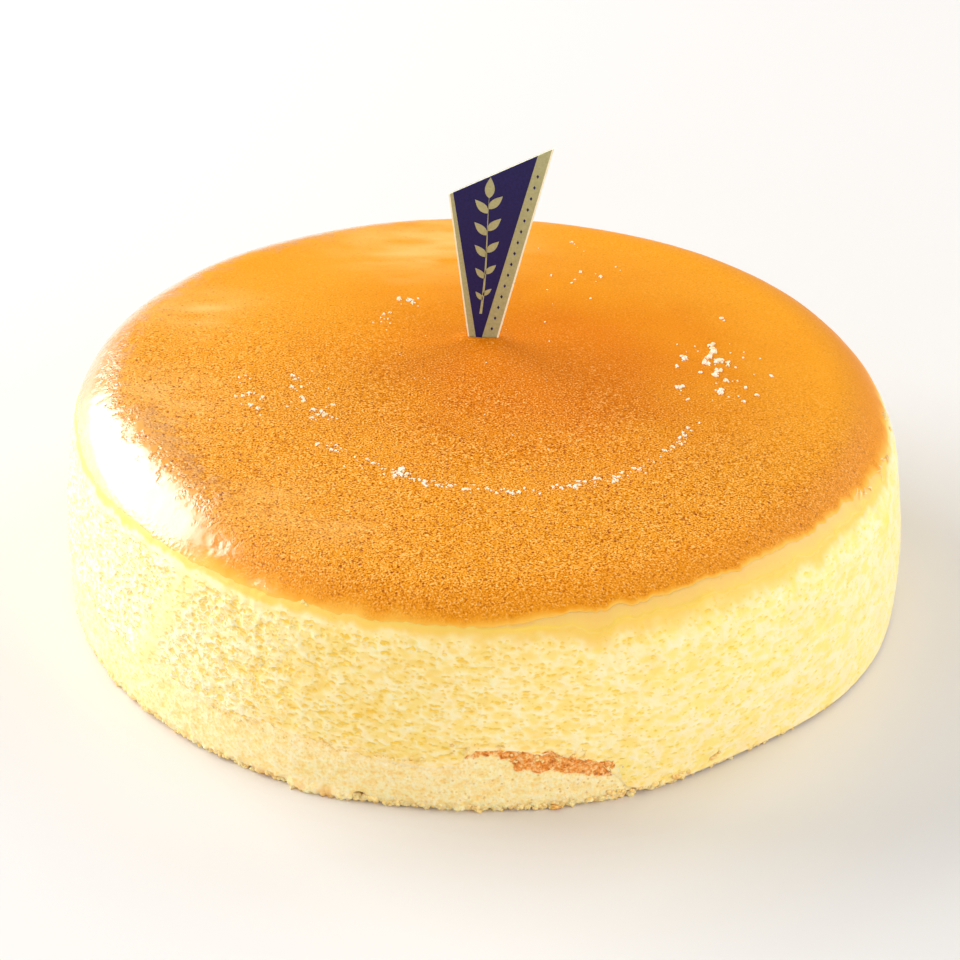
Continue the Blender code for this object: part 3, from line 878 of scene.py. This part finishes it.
def spongeMarks(angle, way, height, rim):
    # lift of the sponge above the cake's form, without its recess, and what colours it
    form, degrees = spongeDisc, (np.degrees(angle) + 180.0) % 360.0 - 180.0
    flat, share = surfacePoint(angle, way, 0.0), 1.0 - height / rim
    medium = holes(angle, way, 1.9 * mm, 1.3 * mm, 101, fill=0.5)
    small = holes(angle, way, 1.0 * mm, 0.8 * mm, 111, fill=0.7)
    knobs = holes(angle, way, 0.8 * mm, 0.7 * mm, 141, fill=0.8, spread=0.6)
    low = ease(1.0 - height / (2.6 * mm))
    frayed = fractalNoise(flat, 1.7 * mm, 125, 3)
    crust = (height - aroundStops(form["crustFoot"], angle) * mm) / (1.3 * mm)
    crust, ends = ease(crust + 0.6 + 1.2 * frayed), form["crustEnds"]
    for past in (degrees - ends[0], ends[1] - degrees):
        crust = crust * ease(past / 2.5 + 0.8 * frayed)
    # a broken piece of the foot with a notch beside it
    chunk = form["chunkAngle"]
    piece = ease((degrees - chunk + 6.0) / 2.0) * ease((chunk + 4.2 - degrees) / 0.8)
    notch = near(angle, chunk + 4.6, 0.7)
    lift = souffleSide["lumps"] * fractalNoise(flat, 16.0 * mm, 55, 2)  # as on the souffle above
    lift = lift + form["grain"] * fractalNoise(flat, 1.3 * mm, 123, 2)
    lift = lift - form["holes"] * np.maximum(medium, 0.5 * small)
    lift = lift + low * form["ragged"] * fractalNoise(flat, 2.6 * mm, 127, 3)
    lift = lift - low * 0.35 * mm - 0.9 * mm * ease((share - 0.92) / 0.08)
    lift = lift + low * form["beads"] * (1.2 * knobs + 1.3 * smoothNoise(flat, 0.7 * mm, 133) - 0.5)
    lift = lift + 1.5 * mm * piece * low - 2.4 * mm * notch * low
    lift = lift + 0.45 * mm * crust * fractalNoise(flat, 1.0 * mm, 129, 2)
    lift = lift - 0.12 * mm * ease((0.05 - share) / 0.05)
    toasted = low * np.clip(0.2 + 1.6 * fractalNoise(flat, 2.2 * mm, 131, 2), 0.0, 1.0)
    return lift, {
        # deeper yellow painted as shade in the sponge's holes
        "pit": 0.65 * np.maximum(medium, 0.8 * small), "crust": crust,
        "toasted": np.maximum(toasted, 1.6 * notch * low),
        "joint": np.exp(-((rim - spongeDisc["overlap"] - height) / souffleSide["jointReach"]) ** 2),
    }


def buildSponge():
    angle = ringAngles(spongeDisc["pointsAround"])
    rim, total = spongeRim(angle), spongeDisc["sideRings"]
    made = newRings("pit", "crust", "toasted", "joint")
    sideChart = stripChart(total * mm)
    setBack = aroundStops(spongeDisc["recess"], angle) * mm
    setBack = setBack + spongeDisc["recessWander"] * fractalNoise(rimPoints(angle), 5.0 * mm, 119, 2)
    addRing(made, np.array([[0.0, 0.0, souffleLow.z]]), 0.0, lidChart)
    lid = surfacePoint(angle, sideStart + shoulderFoot - rim, -setBack - 1.6 * mm)
    addRing(made, lid, 75.0 * mm, lidChart)
    for index in range(total + 1):
        height = rim * (1.0 - index / total)
        way = sideStart + shoulderFoot - height
        lift, looks = spongeMarks(angle, way, height, rim)
        points = surfacePoint(angle, way, lift - setBack)
        addRing(made, points, index * mm, sideChart if index < total else baseChart, list(looks.values()))
    addRing(made, points * [0.985, 0.985, 1.0], 70.0 * mm, baseChart)
    addRing(made, np.array([[0.0, 0.0, 0.0]]), 0.0, None)
    return ringMesh("spongeDisc", made)


# Baked sponge, aerated and dry: tan-yellow with a fine open crumb, its upper crust browned and porous
def spongeMaterial():
    material, add = newMaterial("bakedSponge")
    place = add("TexCoord", {}, "Object")
    pit, crust, toasted, joint = [
        add("Attribute", {"attribute_name": key}, "Fac")
        for key in ("pit", "crust", "toasted", "joint")
    ]
    # painted shade: deeper yellow in the holes
    crumb = add("ValToRGB", {"ramp": [(0.0, "#FFEDC2"), (0.5, "#FFE6AA"), (1.0, "#FACC70")], "Fac": pit})
    mottle = add("TexNoise", {
        "Scale": 1.0 / (0.55 * mm), "Detail": 3.0, "Roughness": 0.6, "Vector": place,
    })
    patches = add("ValToRGB", {
        "ramp": [(0.36, "#FBE6AC"), (0.47, "#FFF8DE"), (0.60, "#FFFFFF")], "Fac": mottle,
    })
    patched = add("MixRGB MULTIPLY", {"Fac": 0.75, "Color1": crumb, "Color2": patches})
    # small mouths of bubbles, towards the right, darkened with painted shade
    cells = add("TexVoronoi", {"Scale": 1.0 / (1.1 * mm), "Vector": place})
    mouthShade = add("MapRange", {"From Min": 0.26, "From Max": 0.12, "To Max": 0.7, "Value": cells})
    rightward = add("SeparateXYZ", {0: place})
    there = add("MapRange", {
        "From Min": -25.0 * mm, "From Max": 8.0 * mm, "To Min": 0.1, "Value": rightward,
    })
    mouthShade = add("Math MULTIPLY", {0: mouthShade, 1: there})
    patched = add("MixRGB", {"Color2": "#DCA650", "Fac": mouthShade, "Color1": patched})
    tanned = add("MixRGB", {"Color2": "#EDB25C", "Fac": toasted, "Color1": patched})
    browns = add("TexNoise", {
        "Scale": 1.0 / (0.9 * mm), "Detail": 3.0, "Roughness": 0.7, "Vector": place,
    })
    brown = add("ValToRGB", {
        "ramp": [(0.36, "#B85E12"), (0.45, "#E08422"), (0.55, "#F09C40"), (0.66, "#FBD092")],
        "Fac": browns,
    })
    # frayed into the crumb round it
    frayed = add("Math MULTIPLY_ADD", {0: mottle, 1: 1.6, 2: crust})
    shown = add("MapRange", {"From Min": 1.38, "From Max": 1.76, "Value": frayed})
    colour = add("MixRGB", {"Fac": shown, "Color1": tanned, "Color2": brown})
    # crumb walls 0.4 mm apart, drawn at 0.6 mm so that they show
    crumbs = add("TexNoise", {
        "Scale": 1.0 / (0.6 * mm), "Detail": 3.0, "Roughness": 0.6, "Vector": place,
    })
    bump = add("Bump", {"Distance": 0.28 * mm, "Height": crumbs})
    held = add("MapRange", {"From Max": 0.9, "To Min": 0.5, "To Max": 0.0, "Value": joint})
    shader = add("BsdfPrincipled", {
        "Roughness": 0.65, "IOR": 1.40, "Subsurface Radius": (1.0, 0.7, 0.35),
        "Subsurface Scale": 1.2 * mm, "Base Color": colour, "Normal": bump, "Subsurface Weight": held,
    })
    return finishMaterial(material, shader)


placePiece("souffleSide", buildSide(), crumbMaterial())
placePiece("spongeDisc", buildSponge(), spongeMaterial(), ["sponge_base"])


# Crumbs still clinging to the cake: along its foot, on the bared crust and at the skin's edge

clingingCrumbs = {
    "seed": 12,
    # degrees from, to, millimetres above the plate from, to, how many, biggest size in mm, how toasted
    "strips": [
        (-165.0, -112.0, 0.3, 1.2, 130, 1.2, 0.12),
        (-112.0, -64.0, 0.3, 1.5, 240, 1.4, 0.12),
        (-68.0, -60.0, 0.3, 2.0, 46, 1.0, 0.3),
        (-60.0, -42.0, 0.3, 1.0, 70, 0.9, 0.25),
        (-42.0, -30.0, 0.2, 0.6, 16, 0.7, 0.15),
        (-93.0, -86.0, 12.2, 14.4, 22, 0.7, 0.3),
        (-86.0, -76.0, 10.6, 12.6, 26, 0.7, 0.15),
        (-126.0, -96.0, 9.5, 11.3, 90, 0.6, 0.1),
    ],
    # single ones: degrees, millimetres above the plate, size, how toasted
    "single": [
        (-79.6, 0.6, 1.2, 0.9), (-78.9, 0.5, 1.0, 0.8), (-72.6, 2.3, 1.1, 0.3), (-72.0, 1.9, 1.0, 0.3),
        (-71.3, 2.1, 0.9, 0.4), (-63.2, 1.9, 1.1, 0.5), (-62.6, 1.6, 1.2, 0.5), (-62.0, 2.1, 0.8, 0.4),
        (-60.8, 1.6, 1.0, 0.4), (-56.8, 2.6, 1.2, 0.4), (-56.2, 3.0, 0.9, 0.3), (-55.7, 3.4, 0.7, 0.4),
        (-113.8, 34.0, 0.8, 0.0), (-113.2, 33.7, 0.6, 0.0), (2.0, 34.0, 1.5, 0.0), (3.2, 33.0, 1.1, 0.0),
        (0.8, 32.6, 0.9, 0.0),
    ],
}


def crumbAt(height, angle, inward):
    # middle of a crumb on the outside of the cake
    way = sideStart + shoulderFoot - height
    if height > shoulderFoot:
        way = sideStart - cakeForm["shoulder"] * math.asin((height - shoulderFoot) / cakeForm["shoulder"])
    return surfacePoint(np.array([angle]), np.array([way]), -inward)[0]


def placeCrumbs(draw):
    places = []
    for first, last, low, high, count, size, toasted in clingingCrumbs["strips"]:
        for _ in range(count):
            height, degrees = draw.uniform(low, high), draw.uniform(first, last)
            recess = float(aroundStops(spongeDisc["recess"], math.radians(degrees)))
            if -70.0 < degrees < 40.0 or height > 5.0:
                recess = -0.2  # these sit on the souffle
            inward = recess + 0.45 * float(ease(1.0 - height / 2.6)) + draw.uniform(0.15, 0.5)
            crumbSize = size * draw.uniform(0.45, 1.0)
            places.append((degrees, height, inward, crumbSize, toasted * draw.uniform(0.0, 2.0)))
    single = clingingCrumbs["single"]
    return places + [(degrees, height, 0.1, size, toasted) for degrees, height, size, toasted in single]


def buildCrumbs():
    draw = random.Random(clingingCrumbs["seed"])
    places = placeCrumbs(draw)
    ball = bmesh.new()
    bmesh.ops.create_icosphere(ball, subdivisions=2, radius=0.5)
    shape = np.array([point.co[:] for point in ball.verts])
    sides = [[point.index for point in face.verts] for face in ball.faces]
    ball.free()
    points, faces, toast = [], [], []
    for index, (degrees, height, inward, size, toasted) in enumerate(places):
        middle = crumbAt(height * mm, math.radians(degrees), inward * mm)
        stretch = np.array([draw.uniform(0.7, 1.2), draw.uniform(0.7, 1.2), draw.uniform(0.6, 1.0)])
        swell = 1.0 + 0.65 * smoothNoise(shape + index * 3.7, 0.4, 151)
        lump = middle + shape * swell[:, None] * stretch * size * mm
        lump[:, 2] = np.maximum(lump[:, 2], 0.02 * mm)  # above the plate
        faces += [[len(points) * len(shape) + corner for corner in side] for side in sides]
        points.append(lump)
        toast.append(np.full(len(shape), min(toasted, 1.0)))
    return newMesh("clingingCrumbs", np.concatenate(points), faces, {"toasted": np.concatenate(toast)})


# Loose crumb of the sponge, dry and rough all over: tan-yellow from the inside, browned from the crust
def looseCrumbMaterial():
    material, add = newMaterial("looseSpongeCrumb")
    place = add("TexCoord", {}, "Object")
    toasted = add("Attribute", {"attribute_name": "toasted"}, "Fac")
    grit = add("TexNoise", {"Scale": 1.0 / (0.4 * mm), "Detail": 3.0, "Vector": place})
    pale = add("ValToRGB", {"ramp": [(0.36, "#FDD27A"), (0.6, "#FFE8AC")], "Fac": grit})
    brown = add("ValToRGB", {"ramp": [(0.36, "#D88C34"), (0.6, "#F6C062")], "Fac": grit})
    tone = add("MixRGB", {"Fac": toasted, "Color1": pale, "Color2": brown})
    bump = add("Bump", {"Strength": 0.7, "Distance": 0.1 * mm, "Height": grit})
    shader = add("BsdfPrincipled", {
        "Roughness": 0.7, "IOR": 1.40, "Subsurface Weight": 0.4, "Subsurface Radius": (1.0, 0.7, 0.35),
        "Subsurface Scale": 0.5 * mm, "Base Color": tone, "Normal": bump,
    })
    return finishMaterial(material, shader)


placePiece("clingingCrumbs", buildCrumbs(), looseCrumbMaterial())


# Pick: a stiff card triangle with an ink field, foil bands along its sides and a foil sprig

pickPrint = {
    "margins": (0.28, 0.34),  # left and right, all in millimetres
    "fieldTop": (0.85, 2.5),  # the ink field's distance from the left and right sides, at its top
    "fieldTip": (-0.36, 10.5),  # it comes to a point here, in the cake
    "foilFoot": 6.0,
    "films": (0.015, 0.030, 0.045),  # how far foil, ink and sprig stand off the card
    "sink": 0.1,  # they reach this far into the card
    "sprig": (18.0, 41.5),  # from and to, above the tip
    "stemWidth": 0.42,
    "leafPairs": 5,
    "leafLength": 0.50,  # of the field's width
    "leafWidth": 0.42,  # of its length
    "dotSpacing": 2.2,
    "dotSize": 0.5,
}


def cardPoint(across, up, depth):
    # millimetres right of and above the tip, and in front of the card's middle
    return (pickTip.x + across * mm, pickTip.y - depth * mm, pickTip.z + up * mm)


def plate(outline, front, back):
    # a flat closed plate with this outline, between two depths
    points = [cardPoint(x, z, front) for x, z in outline] + [cardPoint(x, z, back) for x, z in outline]
    n = len(outline)
    faces = [list(range(n)), list(range(2 * n - 1, n - 1, -1))]
    faces += [[i, i + n, (i + 1) % n + n, (i + 1) % n] for i in range(n)]
    return points, faces


def joinPlates(name, plates):
    points, faces = [], []
    for some, sides in plates:
        faces += [[i + len(points) for i in side] for side in sides]
        points += some
    return newMesh(name, points, faces)


def bandLine(side, margin, up):
    # across at a height, for a line this far in from a side of the card
    acrossMm, upMm = pickCard[side]
    half = math.copysign(0.5 * pickCard["tipWidth"], acrossMm)
    return half + (acrossMm - half) * up / upMm - math.copysign(margin, acrossMm)


def topUp(across):
    # height of the card's upper edge
    (x0, z0), (x1, z1) = pickCard["left"], pickCard["right"]
    return z0 + (across - x0) / (x1 - x0) * (z1 - z0)


def meetTop(side, margin):
    # where a line along a side meets the upper edge
    across = pickCard[side][0]
    for _ in range(12):
        across = bandLine(side, margin, topUp(across))
    return across, topUp(across)


def fieldCorners():
    left, right = pickPrint["fieldTop"]
    return pickPrint["fieldTip"], meetTop("right", right), meetTop("left", left)


def fieldLine(corner, up):
    (x0, z0), (x1, z1) = pickPrint["fieldTip"], fieldCorners()[corner]
    return x0 + (x1 - x0) * (up - z0) / (z1 - z0)


def leafOutline(baseX, baseZ, lean, length, width):
    # pointed oval from its base, leaning by an angle from straight up
    steps = 9
    shares = [i / (steps - 1) for i in range(steps)]
    outline = [(s * length, 0.5 * width * math.sin(math.pi * s ** 0.8)) for s in shares]
    outline += [(a, -b) for a, b in outline[-2:0:-1]]
    c, s = math.cos(lean), math.sin(lean)
    return [(baseX + a * s + b * c, baseZ + a * c - b * s) for a, b in outline]


def stemPoint(share):
    # along the middle of the field, with a slight swing
    low, high = pickPrint["sprig"]

    def spot(t):
        up = low + (high - low) * t
        middle = 0.5 * (fieldLine(1, up) + fieldLine(2, up))
        return middle + 0.5 * math.sin(fullTurn * 0.5 * t) * (1.0 - t), up

    (x0, z0), (x1, z1) = spot(share - 0.02), spot(share + 0.02)
    x, z = spot(share)
    return x, z, math.atan2(x1 - x0, z1 - z0)


def sprigOutlines():
    steps, pairs = 16, pickPrint["leafPairs"]
    walk = [stemPoint(i / steps) for i in range(steps + 1)]
    halves = [0.5 * pickPrint["stemWidth"] * (1.1 - i / steps) for i in range(steps + 1)]
    right = [(x + half, z) for (x, z, lean), half in zip(walk, halves)]
    left = [(x - half, z) for (x, z, lean), half in zip(walk, halves)]
    outlines = [right + left[::-1]]
    for pair in range(pairs):
        x, z, lean = stemPoint(0.12 + 0.74 * pair / (pairs - 1))
        length = pickPrint["leafLength"] * (fieldLine(1, z) - fieldLine(2, z)) * (1.0 - 0.09 * pair)
        for side in (-1, 1):
            width = length * pickPrint["leafWidth"]
            outlines.append(leafOutline(x, z + 0.9 * (side > 0), lean + side * 0.75, length, width))
    x, z, lean = stemPoint(1.0)
    return outlines + [leafOutline(x, z - 0.3, lean, 4.2, 4.2 * pickPrint["leafWidth"])]


def buildPick():
    half = 0.5 * (pickHigh.y - pickLow.y) / mm
    foilTop, inkTop, sprigTop = [half - pickPrint["films"][-1] + film for film in pickPrint["films"]]
    face = half - pickPrint["films"][-1]
    low = face - pickPrint["sink"]
    tip = 0.5 * pickCard["tipWidth"]
    outline = [(-tip, 0.0), (tip, 0.0), pickCard["right"], pickCard["left"]]
    leftIn, rightIn = pickPrint["margins"]
    foot = pickPrint["foilFoot"]
    sheet = [(bandLine("left", leftIn, foot), foot), (bandLine("right", rightIn, foot), foot)]
    sheet += [meetTop("right", rightIn), meetTop("left", leftIn)]
    field = list(fieldCorners())
    dots = []
    up, size = 15.0, 0.5 * pickPrint["dotSize"]
    while up < 47.0:
        x = 0.5 * (fieldLine(1, up) + bandLine("right", rightIn, up))
        dots.append([(x, up - 1.6 * size), (x + size, up), (x, up + 1.6 * size), (x - size, up)])
        up += pickPrint["dotSpacing"]
    ink = [plate(field, inkTop, low), plate(field, -low, -inkTop)] + [plate(dot, inkTop, low) for dot in dots]
    foil = [plate(sheet, foilTop, low), plate(sheet, -low, -foilTop)]
    foil += [plate(some, sprigTop, low) for some in sprigOutlines()]
    return (
        joinPlates("pickCard", [plate(outline, face, -face)]),
        joinPlates("pickInk", ink),
        joinPlates("pickFoil", foil),
    )


def pressedMaterial(name, finish):
    # a thin even finish, with a fine tooth that varies its tone a little and breaks its gloss
    material, add = newMaterial(name)
    place = add("TexCoord", {}, "Object")
    tooth = add("TexNoise", {"Scale": 1.0 / finish["tooth"], "Detail": finish["detail"], "Vector": place})
    tone = add("ValToRGB", {"ramp": finish["tones"], "Fac": tooth})
    bump = add("Bump", {"Strength": finish["strength"], "Distance": finish["depth"], "Height": tooth})
    shader = add("BsdfPrincipled", {**finish["surface"], "Base Color": tone, "Normal": bump})
    return finishMaterial(material, shader)


# Die-cut paper board with a white clay coating: an even pale face and a slightly rough cut edge
coatedBoard = {
    "tooth": 0.5 * mm, "detail": 3.0, "tones": [(0.3, "#F1EBC4"), (0.7, "#FBF7DC")],
    "strength": 0.2, "depth": 0.02 * mm, "surface": {"Roughness": 0.55, "IOR": 1.50},
}
# Offset ink under a clear varnish: deep even blue with a faint paper tooth in its gloss
navyInk = {
    "tooth": 0.4 * mm, "detail": 2.0, "tones": [(0.3, "#17164A"), (0.7, "#1D1C58")],
    "strength": 0.15, "depth": 0.01 * mm,
    "surface": {"Roughness": 0.45, "IOR": 1.50, "Specular IOR Level": 0.25},
}
# Hot-stamped matt gold foil, pressed into the card's tooth: a soft khaki-gold sheen, not a mirror
goldFoil = {
    "tooth": 0.35 * mm, "detail": 2.0, "tones": [(0.3, "#A3A678"), (0.7, "#B2B589")],
    "strength": 0.25, "depth": 0.01 * mm, "surface": {"Roughness": 0.5, "Metallic": 0.3},
}

card, ink, foil = buildPick()
board = pressedMaterial("coatedPaperBoard", coatedBoard)
placePiece("pickCard", card, board, ["cake_pick"], smooth=False)
placePiece("pickInk", ink, pressedMaterial("varnishedNavyInk", navyInk), smooth=False)
placePiece("pickFoil", foil, pressedMaterial("stampedGoldFoil", goldFoil), smooth=False)


# Flecks: dry pale flakes of skin and crumb lying on the top

flecks = {
    "seed": 7,
    # arcs on the top: degrees from, to, millimetres from the middle, spread, how many, biggest size
    "arcs": [
        (-136.0, -112.0, 38.5, 1.3, 26, 0.8),
        (-112.0, -60.0, 38.6, 0.6, 80, 0.9),
        (-60.0, -20.0, 39.6, 0.7, 46, 0.9),
        (182.0, 203.0, 43.8, 1.4, 26, 0.9),
        (180.0, 213.0, 34.0, 2.2, 30, 1.1),
        (-10.0, 22.0, 42.5, 3.6, 44, 1.2),
    ],
    # heaps: millimetres right of and behind the middle, spread, how many, biggest size
    "heaps": [
        (34.3, -1.2, 0.9, 4, 1.8), (41.0, 9.0, 2.2, 16, 1.7), (42.1, 26.2, 0.3, 2, 1.5),
        (15.5, 55.6, 0.5, 2, 1.0), (18.2, 38.6, 4.0, 12, 0.8), (-19.3, 20.2, 1.6, 9, 1.1),
        (-14.6, 27.1, 1.4, 9, 1.1), (-31.0, -16.0, 1.2, 7, 1.1), (-28.5, -28.0, 1.0, 6, 1.0),
        (-14.5, -35.5, 0.9, 7, 1.5), (0.0, 0.0, 40.0, 60, 0.5),
    ],
    "thickness": (0.25, 0.5),  # of their width
    "joined": 3,  # a large one is up to this many lying over each other
    # torn threads of skin hanging at its right edge: degrees from, to, how many, length and width in mm
    "threads": (-23.0, -8.0, 14, 1.1, 0.30),
}


def strand(start, end, lifts, width, thick):
    # a thin closed strip over the cake from one (angle, way) to another, rounded off at both ends
    rows = len(lifts)
    points, faces = [], []
    for row, lift in enumerate(lifts):
        share = row / (rows - 1)
        angle, way = [a + (b - a) * share for a, b in zip(start, end)]
        half = 0.5 * width * math.sin(math.pi * (0.12 + 0.76 * share)) ** 0.7 / cakeForm["radius"]
        for side, rise in ((-half, 0.0), (half, 0.0), (half, thick), (-half, thick)):
            spot = np.array([angle + side]), np.array([way])
            points.append(tuple(surfacePoint(*spot, lift + rise)[0]))
    for row in range(rows - 1):
        low, high = 4 * row, 4 * row + 4
        faces += [[low + i, low + (i + 1) % 4, high + (i + 1) % 4, high + i] for i in range(4)]
    return points, faces + [[3, 2, 1, 0], [4 * rows - 4 + i for i in range(4)]]


def skinShreds(draw):
    first, last, count, length, width = flecks["threads"]
    strips = []
    for _ in range(count):
        angle, long = math.radians(draw.uniform(first, last)), length * draw.uniform(0.4, 1.0) * mm
        way = float(skinEdge(np.array([angle]))[0]) + draw.uniform(-1.0, 0.3) * mm
        lean = math.radians(draw.uniform(-1.4, 1.4))
        bow = draw.uniform(0.05, 0.25) * mm
        lifts = [0.02 * mm + bow * math.sin(math.pi * i / 5) for i in range(6)]
        wide = width * draw.uniform(0.7, 1.6) * mm
        strips.append(strand((angle, way), (angle + lean, way + long), lifts, wide, 0.09 * mm))
    return strips


def buildFlecks():
    draw = random.Random(flecks["seed"])
    places = []
    for start, end, away, spread, count, size in flecks["arcs"]:
        for _ in range(count):
            angle = math.radians(draw.uniform(start, end))
            radius = away + draw.gauss(0.0, spread)
            places.append((angle, radius, size * draw.uniform(0.35, 1.0) ** 1.5))
    for x, y, spread, count, size in flecks["heaps"]:
        for _ in range(count):
            px, py = x + draw.gauss(0.0, spread), y + draw.gauss(0.0, spread)
            places.append((math.atan2(py, px), math.hypot(px, py), size * draw.uniform(0.4, 1.0) ** 1.4))
    for angle, radius, size in list(places):
        for _ in range(draw.randint(1, flecks["joined"]) if size > 0.7 else 0):
            turn, off = draw.uniform(0.0, fullTurn), 0.45 * size
            part = angle + off * math.cos(turn) / max(radius, 5.0), radius + off * math.sin(turn)
            places.append((*part, size * draw.uniform(0.4, 0.8)))
    points, faces = [], []
    for angle, radius, size in places:
        if radius > 60.0:
            continue
        around = np.array([angle])
        way = np.array([radius * mm])
        middle = Vector(surfacePoint(around, way, topLift(around, way))[0])
        thick = size * draw.uniform(*flecks["thickness"])
        turn = Quaternion((0.0, 0.0, 1.0), draw.uniform(0.0, fullTurn))
        tilt = Quaternion((draw.uniform(-1, 1), draw.uniform(-1, 1), 0.0), draw.uniform(0.0, 0.5))
        start, sides = len(points), draw.choice((5, 6, 7))
        long = draw.uniform(0.5, 0.85)
        for level in (0, 1):
            for corner in range(sides):
                reach = 0.5 * size * draw.uniform(0.65, 1.1) * (0.75 if level else 1.0)
                spin = corner / sides * fullTurn
                spot = Vector((reach * math.cos(spin), reach * long * math.sin(spin), (level - 0.3) * thick))
                spot.z += draw.uniform(-0.12, 0.12) * thick
                points.append(middle + (turn @ tilt @ spot) * mm)
        top = [start + sides + i for i in range(sides)]
        base = [start + i for i in range(sides)]
        faces += [top, base[::-1]]
        faces += [[base[i], base[(i + 1) % sides], top[(i + 1) % sides], top[i]] for i in range(sides)]
    amber = [0.0] * len(points)
    for some, sides in skinShreds(draw):
        faces += [[len(points) + corner for corner in side] for side in sides]
        points += some
        amber += [1.0] * len(some)
    return newMesh("skinFlecks", points, faces, {"amber": amber})


# Dried flakes of egg-foam skin: off-white, slightly see-through and shiny on their broken faces
def fleckMaterial():
    material, add = newMaterial("driedFoamFlake")
    place = add("TexCoord", {}, "Object")
    noise = add("TexNoise", {"Scale": 1.0 / (0.8 * mm), "Vector": place})
    tone = add("ValToRGB", {"ramp": [(0.35, "#FBE2B4"), (0.6, "#FFF8E8")], "Fac": noise})
    amber = add("Attribute", {"attribute_name": "amber"}, "Fac")
    tone = add("MixRGB", {"Color2": "#FFE2A2", "Fac": amber, "Color1": tone})
    bump = add("Bump", {"Strength": 0.4, "Distance": 0.05 * mm, "Height": noise})
    shader = add("BsdfPrincipled", {
        "Roughness": 0.35, "IOR": 1.45, "Subsurface Weight": 0.2, "Subsurface Radius": (1.0, 0.7, 0.4),
        "Subsurface Scale": 0.5 * mm, "Base Color": tone, "Normal": bump,
    })
    return finishMaterial(material, shader)


placePiece("skinFlecks", buildFlecks(), fleckMaterial(), smooth=False)


# Floor, light and camera

studio = {
    "floorSize": 6.0,
    "floorColour": "#E5E2DF",
    "room": 0.34,  # brightness of the pale room all round
    # lamps as place, size across and up, strength in watts; each looks at the cake
    "lamps": {
        "window": ((-0.86, 0.40, 0.41), (0.94, 0.78), 16.8),
        "right": ((1.35, -0.35, 0.75), (0.9, 0.9), 6.8),
        "rightLow": ((1.40, -0.70, 0.35), (1.0, 0.5), 4.4),
        "rightBack": ((1.00, 0.80, 0.80), (0.8, 0.8), 7.6),
        "frontLow": ((0.00, -1.60, 0.34), (1.2, 0.55), 6.6),
        "leftFront": ((-1.20, -0.80, 0.70), (0.8, 0.8), 3.0),
        "over": ((0.00, -0.30, 1.40), (0.9, 0.7), 1.5),
    },
    "cameraRise": 31.88,  # degrees above the table
    "cameraAway": 0.700,
    "cameraAim": (-0.00093, 0.0, 0.01946),
    "cameraRoll": 1.99,
    "lens": 143.1,
}


def addFloor():
    half = 0.5 * studio["floorSize"]
    corners = [(-half, -half, 0.0), (half, -half, 0.0), (half, half, 0.0), (-half, half, 0.0)]
    mesh = newMesh("floor", corners, [(0, 1, 2, 3)])
    material, add = newMaterial("mattWhiteTable")
    shader = add("BsdfPrincipled", {"Base Color": studio["floorColour"], "Roughness": 0.45})
    finishMaterial(material, shader)
    mesh.materials.append(material)
    floor = bpy.data.objects.new("floor", mesh)
    bpy.context.scene.collection.objects.link(floor)


def addLights():
    world = bpy.data.worlds.new("paleRoom")
    bpy.context.scene.world = world
    world.use_nodes = True
    sky = world.node_tree.nodes["Background"]
    sky.inputs["Color"].default_value = (1.0, 1.0, 1.0, 1.0)
    sky.inputs["Strength"].default_value = studio["room"]
    for name, (place, size, watts) in studio["lamps"].items():
        lamp = bpy.data.lights.new(name, "AREA")
        lamp.shape, (lamp.size, lamp.size_y) = "RECTANGLE", size
        lamp.energy = watts
        holder = bpy.data.objects.new(name, lamp)
        holder.location = place
        holder.rotation_mode = "QUATERNION"
        holder.rotation_quaternion = (Vector((0.0, 0.0, 0.02)) - Vector(place)).to_track_quat("-Z", "Y")
        bpy.context.scene.collection.objects.link(holder)


def addCamera():
    lens = bpy.data.cameras.new("camera")
    lens.lens, lens.sensor_width = studio["lens"], 36.0
    lens.clip_start, lens.clip_end = 0.05, 20.0
    camera = bpy.data.objects.new("camera", lens)
    rise = math.radians(studio["cameraRise"])
    camera.location = (0.0, -studio["cameraAway"] * math.cos(rise), studio["cameraAway"] * math.sin(rise))
    look = (Vector(studio["cameraAim"]) - camera.location).to_track_quat("-Z", "Y")
    camera.rotation_mode = "QUATERNION"
    camera.rotation_quaternion = look @ Quaternion((0.0, 0.0, 1.0), math.radians(studio["cameraRoll"]))
    bpy.context.scene.collection.objects.link(camera)
    bpy.context.scene.camera = camera


addFloor()
addLights()
addCamera()
bpy.context.scene.view_settings.view_transform = "Standard"
print("stage: floor, light and camera placed")
